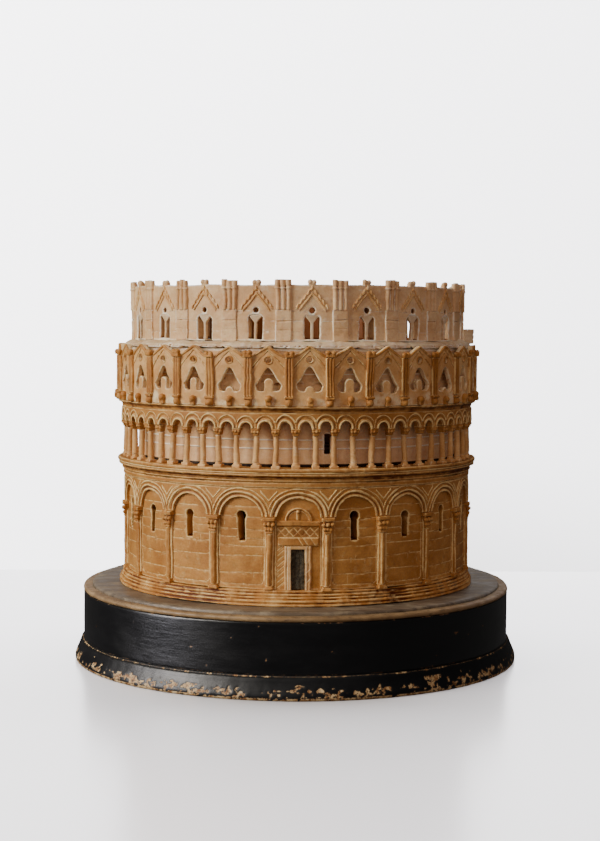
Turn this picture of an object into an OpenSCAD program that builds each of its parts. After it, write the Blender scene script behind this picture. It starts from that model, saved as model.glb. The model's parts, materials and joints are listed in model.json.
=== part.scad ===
// Souvenir model of a round arcaded building in alabaster on a turned, ebonised plinth.
// Origin: centre of the underside. +Z is up. The front door faces -Y.
// Every ring of carved stone is its own solid, and so is every family of carved pieces.

/* [Plinth] */
// Radius of the foot moulding at the floor
foot_r = 131.6; // [120:0.1:140]
// Height of the foot moulding
foot_h = 12.7; // [10:0.1:16]
// Radius of the plain black band
band_r = 126.5; // [118:0.1:128]
// Height of the top of the band
band_top = 40.7; // [34:0.1:46]
// Height of the plinth's flat top
plinth_top = 45.3; // [44:0.1:50]

/* [Lower storey] */
// Number of bays round the lower storey
lower_bays = 20; // [16:4:24]
// Number of doorways
doorways = 4; // [1:1:4]
// Radius of the bottom step
step_r = 105.5; // [105:0.1:108]
// Outer radius of the sunk wall panels
panel_r = 100.6; // [99.8:0.1:101.3]
// Outer radius of the spandrels round the arches
spandrel_r = 102.5; // [101.9:0.1:102.9]
// Radius of the open well through all the stone rings
well_r = 90; // [84:1:90.5]
// Height of the stepped base above the plinth
steps_h = 8.6; // [7:0.1:10]
// Height where the arches spring
lower_spring_z = 93; // [90:0.1:95]
// Inner radius of the blind arches
lower_arch_r = 11.5; // [10:0.1:12]
// Height of the bottom of the frieze
frieze_z = 109.6; // [109.6:0.1:111]
// Height of the bottom of the projecting cornice
lip_z = 112.4; // [112:0.1:114]

/* [Gallery] */
// Height of the gallery floor
gallery_z = 120; // [119:0.1:121]
// Number of gallery columns
gallery_columns = 60; // [40:4:60]
// Radius of the circle of column centres
gallery_column_r = 101.5; // [101.3:0.1:101.9]
// Diameter of a gallery column
gallery_shaft_d = 3.2; // [2.4:0.1:3.4]
// Height where the gallery arches spring
gallery_spring_z = 141.9; // [141.7:0.1:143]
// Inner radius of a gallery arch
gallery_arch_r = 2.9; // [2.4:0.1:3.2]
// Outer radius of the arcade wall
arcade_r = 104; // [103.7:0.1:104.5]
// Outer radius of the inner drum behind the columns
inner_drum_r = 94; // [92:0.5:95]

/* [Gable tier] */
// Number of gables
gables = 30; // [20:2:30]
// Height of the floor of the gable tier
gable_z = 153.6; // [153:0.1:155]
// Outer radius of the gable wall
gable_r = 105.7; // [105.2:0.1:106.2]
// Height of the gable points
gable_top = 186.3; // [185:0.1:187]
// Height where two gables meet
gable_valley = 179.6; // [178:0.1:181]

/* [Upper storey] */
// Number of bays round the upper storey
upper_bays = 20; // [16:2:24]
// Outer radius of the upper wall
upper_r = 98; // [97:0.1:98.5]
// Height of the foot of the upper wall
upper_z = 188.5; // [188:0.1:189]
// Height of the top of the upper wall
upper_top = 219; // [218:0.1:220]
// Height of the tops of the pier shafts
stub_top = 222.1; // [221:0.1:224]
// Inner radius of the seat for a dome
dome_seat_r = 92.5; // [91:0.1:94]

/* [Hidden] */
$fn = 96;

honey = [0.80, 0.58, 0.32];
caramel = [0.70, 0.46, 0.22];
cream = [0.90, 0.80, 0.62];
pale = [0.84, 0.74, 0.60];
black = [0.06, 0.06, 0.07];

lower_pitch = 360 / lower_bays;
gallery_pitch = 360 / gallery_columns;
gable_pitch = 360 / gables;
upper_pitch = 360 / upper_bays;
// Turn of each tier against the door's axis, in degrees
gallery_turn = -1;
gable_turn = 3;
upper_turn = 4.1;
slit_turn = 9.7;
block_turn = 96;

steps_top = plinth_top + steps_h;
skin_gap = 0.04;       // gap between a carved piece and the curved wall behind it
run_gap = 0.3;         // gap between curved faces of sections that lift apart

// Points along an arc of radius r about (cx, cy), from angle a0 to a1
function arc(r, a0, a1, steps, cx = 0, cy = 0) =
  [for (i = [0:steps]) let (a = a0 + (a1 - a0) * i / steps) [cx + r * cos(a), cy + r * sin(a)]];

// Repeats its child round the axis
module around(count, turn = 0) {
  for (i = [0:count - 1]) rotate([0, 0, turn + i * 360 / count]) children();
}

// Repeats its child at every bay of the lower storey but the doorways, or only at them
module at_windows() {
  for (i = [0:lower_bays - 1])
    if (i % (lower_bays / doorways) != 0) rotate([0, 0, i * lower_pitch]) children();
}
module at_doorways() {
  around(doorways) children();
}

// A flat outline in (width, height), raised from radius r0 to r1 at the front
module slab(r0, r1) {
  translate([0, -r0, 0]) rotate([90, 0, 0]) linear_extrude(r1 - r0) children();
}

module ring(r0, r1, z0, z1) {
  translate([0, 0, z0]) difference() {
    cylinder(r = r1, h = z1 - z0);
    translate([0, 0, -1]) cylinder(r = r0, h = z1 - z0 + 2);
  }
}

// A turned piece from a closed outline in (radius, height)
module turned(outline) {
  rotate_extrude() polygon(outline);
}

module upright(half_w, z0, z1) {
  translate([-half_w, z0]) square([2 * half_w, z1 - z0]);
}

// Opening with a round head
module round_headed(half_w, z0, spring) {
  polygon(concat([[half_w, z0]], arc(half_w, 0, 180, 12, 0, spring), [[-half_w, z0]]));
}

// Band between two half circles
module half_band(r0, r1, spring, steps = 12) {
  polygon(concat(arc(r1, 0, 180, steps, 0, spring), arc(r0, 180, 0, steps, 0, spring)));
}

// Inverted V of the given thickness, measured upright
module chevron(half_w, foot, apex, thick) {
  polygon([[-half_w, foot - thick], [-half_w, foot], [0, apex], [half_w, foot],
           [half_w, foot - thick], [0, apex - thick]]);
}

// ---------- plinth ----------
module plinth_foot_board() {
  color(black) turned([
    [0, 0], [foot_r - 0.8, 0], [foot_r - 0.1, 0.5], [foot_r, 1.2], [foot_r - 0.1, 3],
    [foot_r - 0.7, 4.6], [foot_r - 1.5, 6], [foot_r - 2.3, 7.8], [foot_r - 2.9, 9.6],
    [foot_r - 3.4, 11.4], [band_r + 0.5, 12.2], [band_r + 0.3, foot_h], [0, foot_h]]);
}

module plinth_drum() {
  color(black) translate([0, 0, foot_h]) cylinder(r = band_r, h = band_top - foot_h);
}

bead_r = band_r - 1.2;
bead_bore = band_r - 5;
module plinth_bead() {
  color(cream) turned(concat(
    [[bead_bore, band_top], [bead_r, band_top]],
    arc(1.45, -90, 90, 8, bead_r, band_top + 1.45),
    [[bead_bore, band_top + 2.9]]));
}

module plinth_top_board() {
  color([0.32, 0.28, 0.22]) turned([
    [0, band_top], [bead_bore - skin_gap, band_top], [bead_bore - skin_gap, plinth_top - 1],
    [bead_bore - 1, plinth_top], [0, plinth_top]]);
}

// ---------- lower storey ----------
// Three rounded mouldings, each smaller than the one below
module lower_steps() {
  step_h = steps_h / 3;
  color(honey) turned(concat(
    [[well_r, plinth_top], [step_r - 1, plinth_top]],
    arc(step_h * 0.75, -70, 70, 6, step_r - step_h * 0.75, plinth_top + step_h * 0.75),
    arc(step_h / 2, -80, 80, 6, step_r - 2.3, plinth_top + step_h * 2.05),
    [[step_r - 3.1, steps_top], [well_r, steps_top]]));
}

door_half_w = 3.7;
door_top = 75.9;
window_r = 2.5;
window_z = 93.6;
slit_half_w = 1.7;
slit_foot = 80.4;
window_outline = concat(
  [[slit_half_w, slit_foot]],
  arc(window_r, -45, 225, 12, 0, window_z),
  [[-slit_half_w, slit_foot]]);
module lower_wall() {
  color(honey) difference() {
    ring(well_r, panel_r, steps_top, lip_z);
    at_doorways() slab(well_r - 4, panel_r + 2) upright(door_half_w, steps_top - 1, door_top);
    at_windows() slab(well_r - 4, panel_r + 2) polygon(window_outline);
  }
}

capital_top = 93.6;
module blind_arcade() {
  color(honey) {
    difference() {
      ring(panel_r + skin_gap, spandrel_r, capital_top, frieze_z);
      around(lower_bays) slab(panel_r - 6, spandrel_r + 2)
        round_headed(lower_arch_r, capital_top - 1, lower_spring_z);
    }
    around(lower_bays, lower_pitch / 2) slab(panel_r + skin_gap, spandrel_r - 1)
      upright(2.45, column_foot, capital_foot);
  }
}

module lower_frieze() {
  color(caramel) ring(panel_r + skin_gap, spandrel_r + 0.5, frieze_z, lip_z);
}

column_foot = steps_top + 1.9;
capital_foot = 84.6;
lower_shaft_r = 1.5;
lower_shaft_y = spandrel_r - 1;
module lower_column_bases() {
  color(cream) around(lower_bays, lower_pitch / 2) slab(panel_r + skin_gap, spandrel_r + 1.3)
    polygon([[-2.9, steps_top], [2.9, steps_top], [2.9, steps_top + 0.8], [2.5, column_foot],
             [-2.5, column_foot], [-2.9, steps_top + 0.8]]);
}

module lower_column_shafts() {
  color(honey) around(lower_bays, lower_pitch / 2) difference() {
    translate([0, -lower_shaft_y, column_foot]) cylinder(r = lower_shaft_r, h = capital_foot - column_foot);
    translate([-4, -spandrel_r + 1 - skin_gap, column_foot - 1]) cube([8, 6, 60]);
  }
}

module lower_column_capitals() {
  color(honey) around(lower_bays, lower_pitch / 2) {
    slab(panel_r + skin_gap, spandrel_r + 1.1) polygon([
      [-1.9, capital_foot], [1.9, capital_foot], [2.4, capital_foot + 0.8],
      [1.9, capital_foot + 1.6], [2.7, capital_foot + 4.4], [3.4, capital_foot + 6.4],
      [-3.4, capital_foot + 6.4], [-2.7, capital_foot + 4.4], [-1.9, capital_foot + 1.6],
      [-2.4, capital_foot + 0.8]]);
    slab(panel_r + skin_gap, spandrel_r + 1.7)
      upright(3.6, capital_foot + 6.4 + skin_gap, capital_top - skin_gap);
  }
}

// Two raised rolls follow each arch and meet their neighbours over the capitals
module lower_archivolts() {
  color(cream) intersection() {
    ring(spandrel_r + skin_gap, spandrel_r + 0.9, capital_top, frieze_z - skin_gap);
    around(lower_bays) slab(panel_r - 6, spandrel_r + 2) {
      half_band(13.6, 14.8, lower_spring_z);
      half_band(15.7, 16.5, lower_spring_z);
    }
  }
}

module spandrel_chevrons() {
  color(cream) around(lower_bays, lower_pitch / 2) slab(spandrel_r + skin_gap, spandrel_r + 0.6)
    mirror([0, 1]) chevron(4.6, -107.9, -102.9, 1);
}

frame_half_w = 7.1;
frame_top = 77.9;
module portal_frames() {
  color(honey) at_doorways() slab(panel_r + skin_gap, panel_r + 1.3) difference() {
    upright(frame_half_w, steps_top + skin_gap, frame_top);
    upright(door_half_w, steps_top - 1, door_top);
  }
}

lintel_top = 91.7;
module portal_lintels() {
  color(cream) at_doorways() {
    slab(panel_r + skin_gap, panel_r + 1.6) upright(11, frame_top + skin_gap, 82.3);
    slab(panel_r + skin_gap, panel_r + 1.2) upright(11.4, 82.3 + skin_gap, 88.8);
    slab(panel_r + skin_gap, panel_r + 2) upright(11.7, 88.8 + skin_gap, lintel_top);
  }
}

lunette_r = 7;
module portal_lunettes() {
  color(cream) at_doorways() slab(panel_r + skin_gap, panel_r + 1.5) {
    half_band(lunette_r - 1.3, lunette_r, lintel_top + skin_gap);
    upright(0.7, lintel_top + skin_gap, lintel_top + lunette_r - 0.8);
  }
}

module door_leaves() {
  color([0.25, 0.23, 0.18]) at_doorways() slab(panel_r - 2.6, panel_r - 1)
    upright(door_half_w - skin_gap, steps_top + skin_gap, door_top - skin_gap);
}

lip_r = 106.7;
lip_split = gallery_z - 2;
module lower_cornice() {
  color(caramel) turned([
    [well_r, lip_z], [spandrel_r + 0.4, lip_z], [spandrel_r + 0.7, lip_z + 1.2],
    [spandrel_r + 1.8, lip_z + 1.9], [spandrel_r + 1.9, lip_z + 3.1], [lip_r - 1.1, lip_z + 4.1],
    [lip_r - 0.4, lip_z + 4.7], [lip_r - 0.2, lip_split], [well_r, lip_split]]);
}

// ---------- gallery ring ----------
module gallery_sill() {
  color(honey) turned(concat(
    [[well_r, lip_split]], arc(1, -90, 90, 8, lip_r - 1, lip_split + 1),
    [[well_r, gallery_z]]));
}

base_h = 3;
shaft_top = 137.5;
module gallery_column_bases() {
  color(cream) around(gallery_columns, gallery_turn)
    slab(gallery_column_r - 2.1, gallery_column_r + 2.1) polygon([
      [-2.3, gallery_z], [2.3, gallery_z], [2.3, gallery_z + 1.4], [1.8, gallery_z + base_h],
      [-1.8, gallery_z + base_h], [-2.3, gallery_z + 1.4]]);
}

module gallery_column_shafts() {
  color(honey) around(gallery_columns, gallery_turn) translate([0, -gallery_column_r, gallery_z + base_h])
    cylinder(d = gallery_shaft_d, h = shaft_top - gallery_z - base_h);
}

module gallery_column_capitals() {
  color(honey) around(gallery_columns, gallery_turn)
    slab(gallery_column_r - 1.9, gallery_column_r + 2.9) polygon([
      [-1.5, shaft_top], [1.5, shaft_top], [2.1, shaft_top + 0.9], [1.6, shaft_top + 1.7],
      [2.3, gallery_spring_z - 0.9], [2.3, gallery_spring_z - 0.4], [-2.3, gallery_spring_z - 0.4],
      [-2.3, gallery_spring_z - 0.9], [-1.6, shaft_top + 1.7], [-2.1, shaft_top + 0.9]]);
}

arcade_bore = gallery_column_r - 1.9;
module gallery_arcade() {
  color(honey) difference() {
    ring(arcade_bore, arcade_r, gallery_spring_z - 0.4, 150);
    around(gallery_columns, gallery_turn + gallery_pitch / 2) slab(arcade_bore - 3, arcade_r + 2)
      round_headed(gallery_arch_r, gallery_spring_z - 2, gallery_spring_z);
  }
}

module gallery_archivolts() {
  color(cream) around(gallery_columns, gallery_turn + gallery_pitch / 2)
    slab(arcade_r + skin_gap, arcade_r + 0.8) half_band(3.5, 4.6, gallery_spring_z + 0.6, 8);
}

module gallery_cornice() {
  color(caramel) turned(concat(
    [[inner_drum_r + run_gap, 150], [arcade_r, 150]],
    arc(2.6, 180, 100, 6, arcade_r + 2.6, 150.2),
    [[lip_r - 0.4, 152.9], [lip_r - 0.4, gable_z - 0.2], [lip_r - 0.8, gable_z],
     [inner_drum_r + run_gap, gable_z]]));
}

// ---------- gable tier ----------
gable_bore = gable_r - 3;
gable_half_w = gable_r * sin(gable_pitch / 2);
trefoil_half = [
  [0, 174.2], [1, 174], [1.6, 173.2], [2.35, 171.9], [3.5, 169.6], [5, 167], [6.85, 164.8],
  [6.5, 163.8], [5.2, 162.2], [3.4, 161.4], [2, 161.8], [2.1, 166.3], [1.5, 168], [0, 168.6]];
trefoil = concat(
  trefoil_half,
  [for (i = [len(trefoil_half) - 2:-1:1]) [-trefoil_half[i][0], trefoil_half[i][1]]]);
apex_flat = 0.5;
module gable_wall() {
  color(honey) difference() {
    ring(gable_bore, gable_r, gable_z, gable_top);
    around(gables, gable_turn + gable_pitch / 2) slab(gable_bore - 3, gable_r + 2)
      polygon([[0, gable_valley], [gable_half_w - apex_flat, gable_top + 0.1],
               [gable_half_w - apex_flat, gable_top + 2], [apex_flat - gable_half_w, gable_top + 2],
               [apex_flat - gable_half_w, gable_top + 0.1]]);
    around(gables, gable_turn) slab(gable_bore - 3, gable_r + 2) {
      polygon(trefoil);
      translate([0, 178.5]) circle(r = 1.45, $fn = 12);
    }
  }
}

module gable_mouldings() {
  color(cream) intersection() {
    ring(gable_r + skin_gap, gable_r + 0.8, gable_z + 1, gable_top);
    around(gables, gable_turn) slab(gable_bore, gable_r + 2) {
      chevron(8, gable_valley - 0.4, gable_top - 0.3, 1.3);
      chevron(8, gable_valley - 4.6, gable_top - 2.6, 0.9);
    }
  }
}

module gable_eye_rings() {
  color(cream) around(gables, gable_turn) slab(gable_r + skin_gap, gable_r + 0.6)
    translate([0, 178.5]) difference() {
      circle(r = 2.1, $fn = 12);
      circle(r = 1.45, $fn = 12);
    }
}

module gable_knobs() {
  color(honey) around(gables, gable_turn) {
    slab(gable_r + skin_gap, gable_r + 1.8) upright(1.5, gable_z + 0.1, gable_z + 2.6);
    intersection() {
      translate([0, -gable_r - 1.1, gable_z + 3.6]) sphere(r = 1.8);
      slab(gable_r + skin_gap, gable_r + 4) upright(3, gable_z + 2.6, gable_z + 6);
    }
  }
}

pinnacle_r0 = gable_r + skin_gap;
pinnacle_ring_z = gable_z + 5.1;
pinnacle_head_z = gable_valley;
module pinnacle_feet() {
  color(honey) around(gables, gable_turn + gable_pitch / 2) slab(pinnacle_r0, gable_r + 2.8) polygon([
    [-1.9, gable_z + skin_gap], [1.9, gable_z + skin_gap], [2.3, gable_z + 1.8], [1.9, gable_z + 3.6],
    [2.4, gable_z + 4.2], [2.4, pinnacle_ring_z], [-2.4, pinnacle_ring_z], [-2.4, gable_z + 4.2],
    [-1.9, gable_z + 3.6], [-2.3, gable_z + 1.8]]);
}

module pinnacle_shafts() {
  color(honey) around(gables, gable_turn + gable_pitch / 2) difference() {
    slab(pinnacle_r0, gable_r + 2) upright(2.05, pinnacle_ring_z, pinnacle_head_z);
    for (side = [-1, 1]) translate([side * 0.75, -gable_r - 2.3, pinnacle_ring_z - 1])
      cylinder(r = 0.55, h = 30, $fn = 8);
  }
}

module pinnacle_heads() {
  color(honey) around(gables, gable_turn + gable_pitch / 2) slab(pinnacle_r0, gable_r + 3.2) polygon([
    [-2.1, pinnacle_head_z], [2.1, pinnacle_head_z], [2.7, pinnacle_head_z + 1],
    [2.3, pinnacle_head_z + 2], [2.6, pinnacle_head_z + 3.2], [1.4, pinnacle_head_z + 4.2],
    [-1.4, pinnacle_head_z + 4.2], [-2.6, pinnacle_head_z + 3.2], [-2.3, pinnacle_head_z + 2],
    [-2.7, pinnacle_head_z + 1]]);
}

// ---------- inner drum and upper storey ----------
ledge_z = 184.6;
ledge_r = gable_bore - run_gap;
backing_r = 99.8;
module inner_drum_wall() {
  color(pale) difference() {
    ring(well_r, inner_drum_r, gallery_z, gable_z);
    around(doorways, slit_turn) slab(well_r - 4, inner_drum_r + 2) upright(1.8, 127.3, 138);
  }
}

module inner_drum_bands() {
  color(cream) difference() {
    union() {
      ring(inner_drum_r + skin_gap, inner_drum_r + 0.4, 129.6, 130.6);
      ring(inner_drum_r + skin_gap, inner_drum_r + 0.4, 134.4, 135.4);
    }
    around(doorways, slit_turn) slab(well_r - 4, inner_drum_r + 2) upright(1.8, 127.3, 138);
  }
}

module drum_backing() {
  color(pale) ring(well_r, backing_r, gable_z, ledge_z);
}

module terrace_ledge() {
  color(cream) turned([
    [well_r, ledge_z], [ledge_r - 0.4, ledge_z], [ledge_r, 185.2], [ledge_r, 186.2],
    [upper_r + 1, upper_z], [well_r, upper_z]]);
}

module terrace_block() {
  color(cream) rotate([0, 0, block_turn]) slab(upper_r + 3.4, ledge_r + 4.8) polygon([
    [-3.6, 187], [3.6, 187], [3.6, 188.6], [3, 189.2], [3, 191.8], [3.6, 192.4], [3.6, 195.5],
    [-3.6, 195.5], [-3.6, 192.4], [-3, 191.8], [-3, 189.2], [-3.6, 188.6]]);
}

light_half_w = 4.45;
light_foot = 189.3;
light_spring = 200.2;
eye_z = 205.2;
seat_h = 5;
module upper_wall() {
  color(pale) difference() {
    ring(well_r, upper_r, upper_z, upper_top);
    translate([0, 0, upper_top - seat_h]) cylinder(r = dome_seat_r, h = seat_h + 1);
    around(upper_bays, upper_turn) slab(well_r - 4, upper_r + 2) {
      polygon([[-light_half_w, light_foot], [light_half_w, light_foot], [light_half_w, light_spring],
               [3.2, 202.4], [-3.2, 202.4], [-light_half_w, light_spring]]);
      translate([0, eye_z]) circle(r = 1.55, $fn = 12);
    }
  }
}

// Slim post that splits into a Y under the round eye
module upper_window_tracery() {
  color(cream) around(upper_bays, upper_turn) slab(upper_r - 2.6, upper_r - 0.3) {
    upright(0.8, light_foot + skin_gap, light_spring);
    polygon([[-0.8, light_spring], [0.8, light_spring], [3.1, 202.4 - skin_gap],
             [-3.1, 202.4 - skin_gap]]);
  }
}

module upper_gable_mouldings() {
  color(cream) intersection() {
    ring(upper_r + skin_gap, upper_r + 0.9, upper_z, upper_top - 0.5);
    around(upper_bays, upper_turn) slab(well_r, upper_r + 3) {
      chevron(7.2, 205.6, 214.6, 1.4);
      chevron(8.7, 206.6, 217.6, 1.5);
    }
  }
}

pier_half_w = 4.35;
pier_block_top = 205.3;
module pier_blocks() {
  color(pale) around(upper_bays, upper_turn + upper_pitch / 2) difference() {
    slab(upper_r + skin_gap, upper_r + 1.1) upright(pier_half_w, upper_z + skin_gap, pier_block_top);
    translate([-6, -upper_r - 3, 199.2]) cube([12, 2.4, 0.8]);
  }
}

// Three slim shafts stand side by side on every pier and rise past the wall's top
module pier_shafts() {
  color(cream) around(upper_bays, upper_turn + upper_pitch / 2)
    for (side = [-1:1]) slab(upper_r + skin_gap, upper_r + 1.5)
      translate([side * 2.95, 0]) polygon([
        [-1.1, pier_block_top], [1.1, pier_block_top], [1.2, 216.4], [1.42, 216.9], [1.42, 217.8],
        [1.2, 218.3], [1.42, 220.6], [0.8, stub_top], [-0.8, stub_top], [-1.42, 220.6],
        [-1.2, 218.3], [-1.42, 217.8], [-1.42, 216.9], [-1.2, 216.4]]);
}

module apex_stubs() {
  color(cream) around(upper_bays, upper_turn) slab(upper_r - 2.4, upper_r)
    polygon([[-2.1, upper_top], [2.1, upper_top], [2.2, stub_top - 0.6], [1.3, stub_top],
             [0.5, stub_top - 0.5], [-0.5, stub_top - 0.5], [-1.3, stub_top], [-2.2, stub_top - 0.6]]);
}

plinth_foot_board();
plinth_drum();
plinth_bead();
plinth_top_board();
lower_steps();
lower_wall();
blind_arcade();
lower_frieze();
lower_column_bases();
lower_column_shafts();
lower_column_capitals();
lower_archivolts();
spandrel_chevrons();
portal_frames();
portal_lintels();
portal_lunettes();
door_leaves();
lower_cornice();
gallery_sill();
gallery_column_bases();
gallery_column_shafts();
gallery_column_capitals();
gallery_arcade();
gallery_archivolts();
gallery_cornice();
gable_wall();
gable_mouldings();
gable_eye_rings();
gable_knobs();
pinnacle_feet();
pinnacle_shafts();
pinnacle_heads();
inner_drum_wall();
inner_drum_bands();
drum_backing();
terrace_ledge();
terrace_block();
upper_wall();
upper_window_tracery();
upper_gable_mouldings();
pier_blocks();
pier_shafts();
apex_stubs();
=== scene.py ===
"""Looks of the carved alabaster rotunda on its ebonised plinth.

Every ring of stone is a signed distance field sampled round the axis, cut to a mesh by a
surface net, so edges are soft and slightly uneven as a knife leaves them. Turned pieces are
lathed profiles with wear. Lengths are in mm until a mesh is made; Blender gets metres.
Angles start at the front door (-Y) and grow towards +X.
"""
import json
import math
import bmesh
import bpy
import numpy as np
from mathutils import Matrix, Vector


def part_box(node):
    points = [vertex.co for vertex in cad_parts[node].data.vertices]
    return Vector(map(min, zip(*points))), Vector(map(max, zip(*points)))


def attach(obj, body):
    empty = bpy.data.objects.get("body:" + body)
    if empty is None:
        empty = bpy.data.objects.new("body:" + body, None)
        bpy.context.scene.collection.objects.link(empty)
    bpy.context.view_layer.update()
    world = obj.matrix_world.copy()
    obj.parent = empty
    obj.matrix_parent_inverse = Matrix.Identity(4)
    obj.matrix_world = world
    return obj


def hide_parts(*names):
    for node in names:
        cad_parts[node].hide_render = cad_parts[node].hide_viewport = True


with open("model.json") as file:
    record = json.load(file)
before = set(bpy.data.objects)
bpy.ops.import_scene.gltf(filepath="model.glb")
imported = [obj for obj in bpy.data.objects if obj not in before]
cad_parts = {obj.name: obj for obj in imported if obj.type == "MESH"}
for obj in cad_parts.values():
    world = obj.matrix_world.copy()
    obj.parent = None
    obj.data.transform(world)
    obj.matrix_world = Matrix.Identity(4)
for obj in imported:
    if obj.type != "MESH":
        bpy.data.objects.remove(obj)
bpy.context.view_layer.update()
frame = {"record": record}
MM = 0.001
TAU = 2 * math.pi


def cad_span(node):
    """Lowest and highest height of a CAD node, in mm."""
    low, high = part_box(node)
    return low[2] / MM, high[2] / MM


# ---------------------------------------------------------------- heights and radii, mm
STEPS_Z = cad_span("lower_steps")
WALL_Z = cad_span("lower_wall")
SILL_Z = cad_span("gallery_sill")
GALLERY_Z = SILL_Z[1]
ARCADE_Z = cad_span("gallery_arcade")
GABLE_Z = cad_span("gable_wall")
LEDGE_Z = cad_span("terrace_ledge")
UPPER_Z = cad_span("upper_wall")
STUB_TOP = cad_span("pier_shafts")[1]
BAND_Z = cad_span("plinth_drum")
PLINTH_TOP = cad_span("plinth_top_board")[1]
WELL_R = 90.0
PANEL_R = 99.3
SPANDREL_R = 101.2
COLUMN_R = 100.2
ARCADE_R = 102.7
DRUM_R = 94.0
GABLE_R = 104.5
UPPER_R = 98.0
LOWER_SPRING = 93.0
GALLERY_SPRING = 141.9
LOWER_BAYS, COLUMNS, GABLES, UPPER_BAYS, DOORWAYS = 20, 60, 30, 20, 4
GALLERY_TURN, GABLE_TURN, UPPER_TURN, SLIT_TURN = (math.radians(a) for a in (-1, 3, 4.1, 9.7))
BLOCK_TURN = math.radians(96)


# ---------------------------------------------------------------- noise round the axis
def lattice_noise(theta, z, wavelength, seed):
    """Smooth noise of unit size on (angle, height), periodic round the axis."""
    around = max(3, int(round(TAU * 100 / wavelength)))
    rng = np.random.default_rng(seed)
    knots = rng.standard_normal((around, int(260 / wavelength) + 4)).astype(np.float32)
    u = np.asarray(theta, np.float32) / TAU * around
    v = (np.asarray(z, np.float32) + 10) / wavelength
    iu, iv = np.floor(u).astype(int), np.floor(v).astype(int)
    fu, fv = u - iu, v - iv
    fu, fv = fu * fu * (3 - 2 * fu), fv * fv * (3 - 2 * fv)
    i0, i1 = iu % around, (iu + 1) % around
    j0 = np.clip(iv, 0, knots.shape[1] - 2)
    j1 = j0 + 1
    low = knots[i0, j0] * (1 - fu) + knots[i1, j0] * fu
    high = knots[i0, j1] * (1 - fu) + knots[i1, j1] * fu
    return low * (1 - fv) + high * fv


# ---------------------------------------------------------------- distance helpers
def smin(a, b, k=0.4):
    h = np.maximum(k - np.abs(a - b), 0) / k
    return np.minimum(a, b) - h * h * (k / 4)


def smax(a, b, k=0.4):
    return -smin(-a, -b, k)


def union(*shapes, k=0.4):
    field = shapes[0]
    for shape in shapes[1:]:
        field = smin(field, shape, k)
    return field


def box(s, z, half_w, z0, z1, k=0.3):
    """Upright rectangle with softened corners."""
    return smax(np.abs(s) - half_w, np.maximum(z0 - z, z - z1), k)


def disc(s, z, cz, r):
    return np.hypot(s, z - cz) - r


def ball(g, s, cs, cz, cr, r):
    """Ball centred at (cs, cz) on radius cr."""
    return np.sqrt((s - cs) ** 2 + (g.z - cz) ** 2 + (g.r - cr) ** 2) - r


def slope_line(s, z, half_w, foot, apex):
    """Distance above an inverted V through its apex and its two feet."""
    m = (apex - foot) / half_w
    return (z - apex + m * np.abs(s)) / math.hypot(1, m)


def solid(outline, r, r0, r1, k=0.35):
    """Outline in (width, height), raised from radius r0 to r1 with a softened front edge."""
    return smax(np.maximum(outline, r0 - r), r - r1, k)


def pulse(distance, width):
    """1 on a line, 0 beyond half its width."""
    return np.clip(1 - np.abs(distance) / (width / 2), 0, 1)


# ---------------------------------------------------------------- sampling grids
class Grid:
    """Samples in (angle, height, radius), with the hand-carved wander of the knife."""

    def __init__(self, theta, z_range, r_range, step, wrap, wander=1.0):
        ds, dz, dr = step
        self.theta, self.wrap = theta.astype(np.float64), wrap
        self.heights = np.arange(z_range[0] - 2 * dz, z_range[1] + 2.5 * dz, dz)
        self.radii = np.arange(r_range[0] - 2 * dr, r_range[1] + 2.5 * dr, dr)
        th, hh = np.meshgrid(self.theta, self.heights, indexing="ij")
        self.th, self.hh = th, hh
        self.ds = wander * (0.26 * lattice_noise(th, hh, 11, 1) + 0.10 * lattice_noise(th, hh, 3.5, 2))
        self.dz = wander * (0.24 * lattice_noise(th, hh, 13, 3) + 0.10 * lattice_noise(th, hh, 4, 4))
        self.rough = wander * (0.10 * lattice_noise(th, hh, 5, 5) + 0.06 * lattice_noise(th, hh, 2, 6))
        self.z = (hh + self.dz)[:, :, None].astype(np.float32)
        self.r = self.radii[None, None, :].astype(np.float32)
        self.skin = self.rough[:, :, None].astype(np.float32)

    def bays(self, count, turn=0.0):
        """Width from each bay's middle, and the bay's number."""
        pitch = TAU / count
        phase = (self.theta - turn) / pitch
        number = np.round(phase)
        angle = ((phase - number) * pitch)[:, None, None]
        s = angle * self.r + self.ds[:, :, None]
        return s.astype(np.float32), number.astype(int) % count

    def varied(self, number, spread, seed):
        """One random number per bay, of the given spread."""
        rng = np.random.default_rng(seed)
        return (rng.uniform(-1, 1, number.max() + 1) * spread).astype(np.float32)[number][:, None, None]


def whole_ring(z_range, r_range, step, wander=1.0):
    count = int(round(TAU * r_range[1] / step[0]))
    return Grid(np.arange(count) * TAU / count, z_range, r_range, step, True, wander)


def sectors(count, turn, half_w, z_range, r_range, step, wander=1.0):
    """A narrow window of samples round each of count repeats."""
    reach = half_w + 2 * step[0]
    local = np.arange(-reach, reach + step[0] / 2, step[0]) / r_range[1]
    middles = turn + np.arange(count) * TAU / count
    return Grid((middles[:, None] + local[None, :]).ravel(), z_range, r_range, step, False, wander)


class Ring:
    """One ring of repeats: how many, where the first stands, and how far each strays sideways."""

    def __init__(self, count, turn=0.0, stray=0.0, seed=0):
        self.count, self.turn, self.stray, self.seed = count, turn, stray, seed

    def places(self, g):
        """Width from each repeat's middle, and its number, on a grid of samples."""
        s, number = g.bays(self.count, self.turn)
        return (s + g.varied(number, self.stray, self.seed) if self.stray else s), number

    def patch(self, half_w, z_range, r_range, step):
        """A grid with a narrow window round each repeat, and its places."""
        g = sectors(self.count, self.turn, half_w, z_range, r_range, step)
        return g, *self.places(g)

    def across(self, theta, radius):
        """Width from the repeat's middle, for a plain array of angles."""
        return bay_place(theta, self.count, self.turn, radius)[0]


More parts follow.
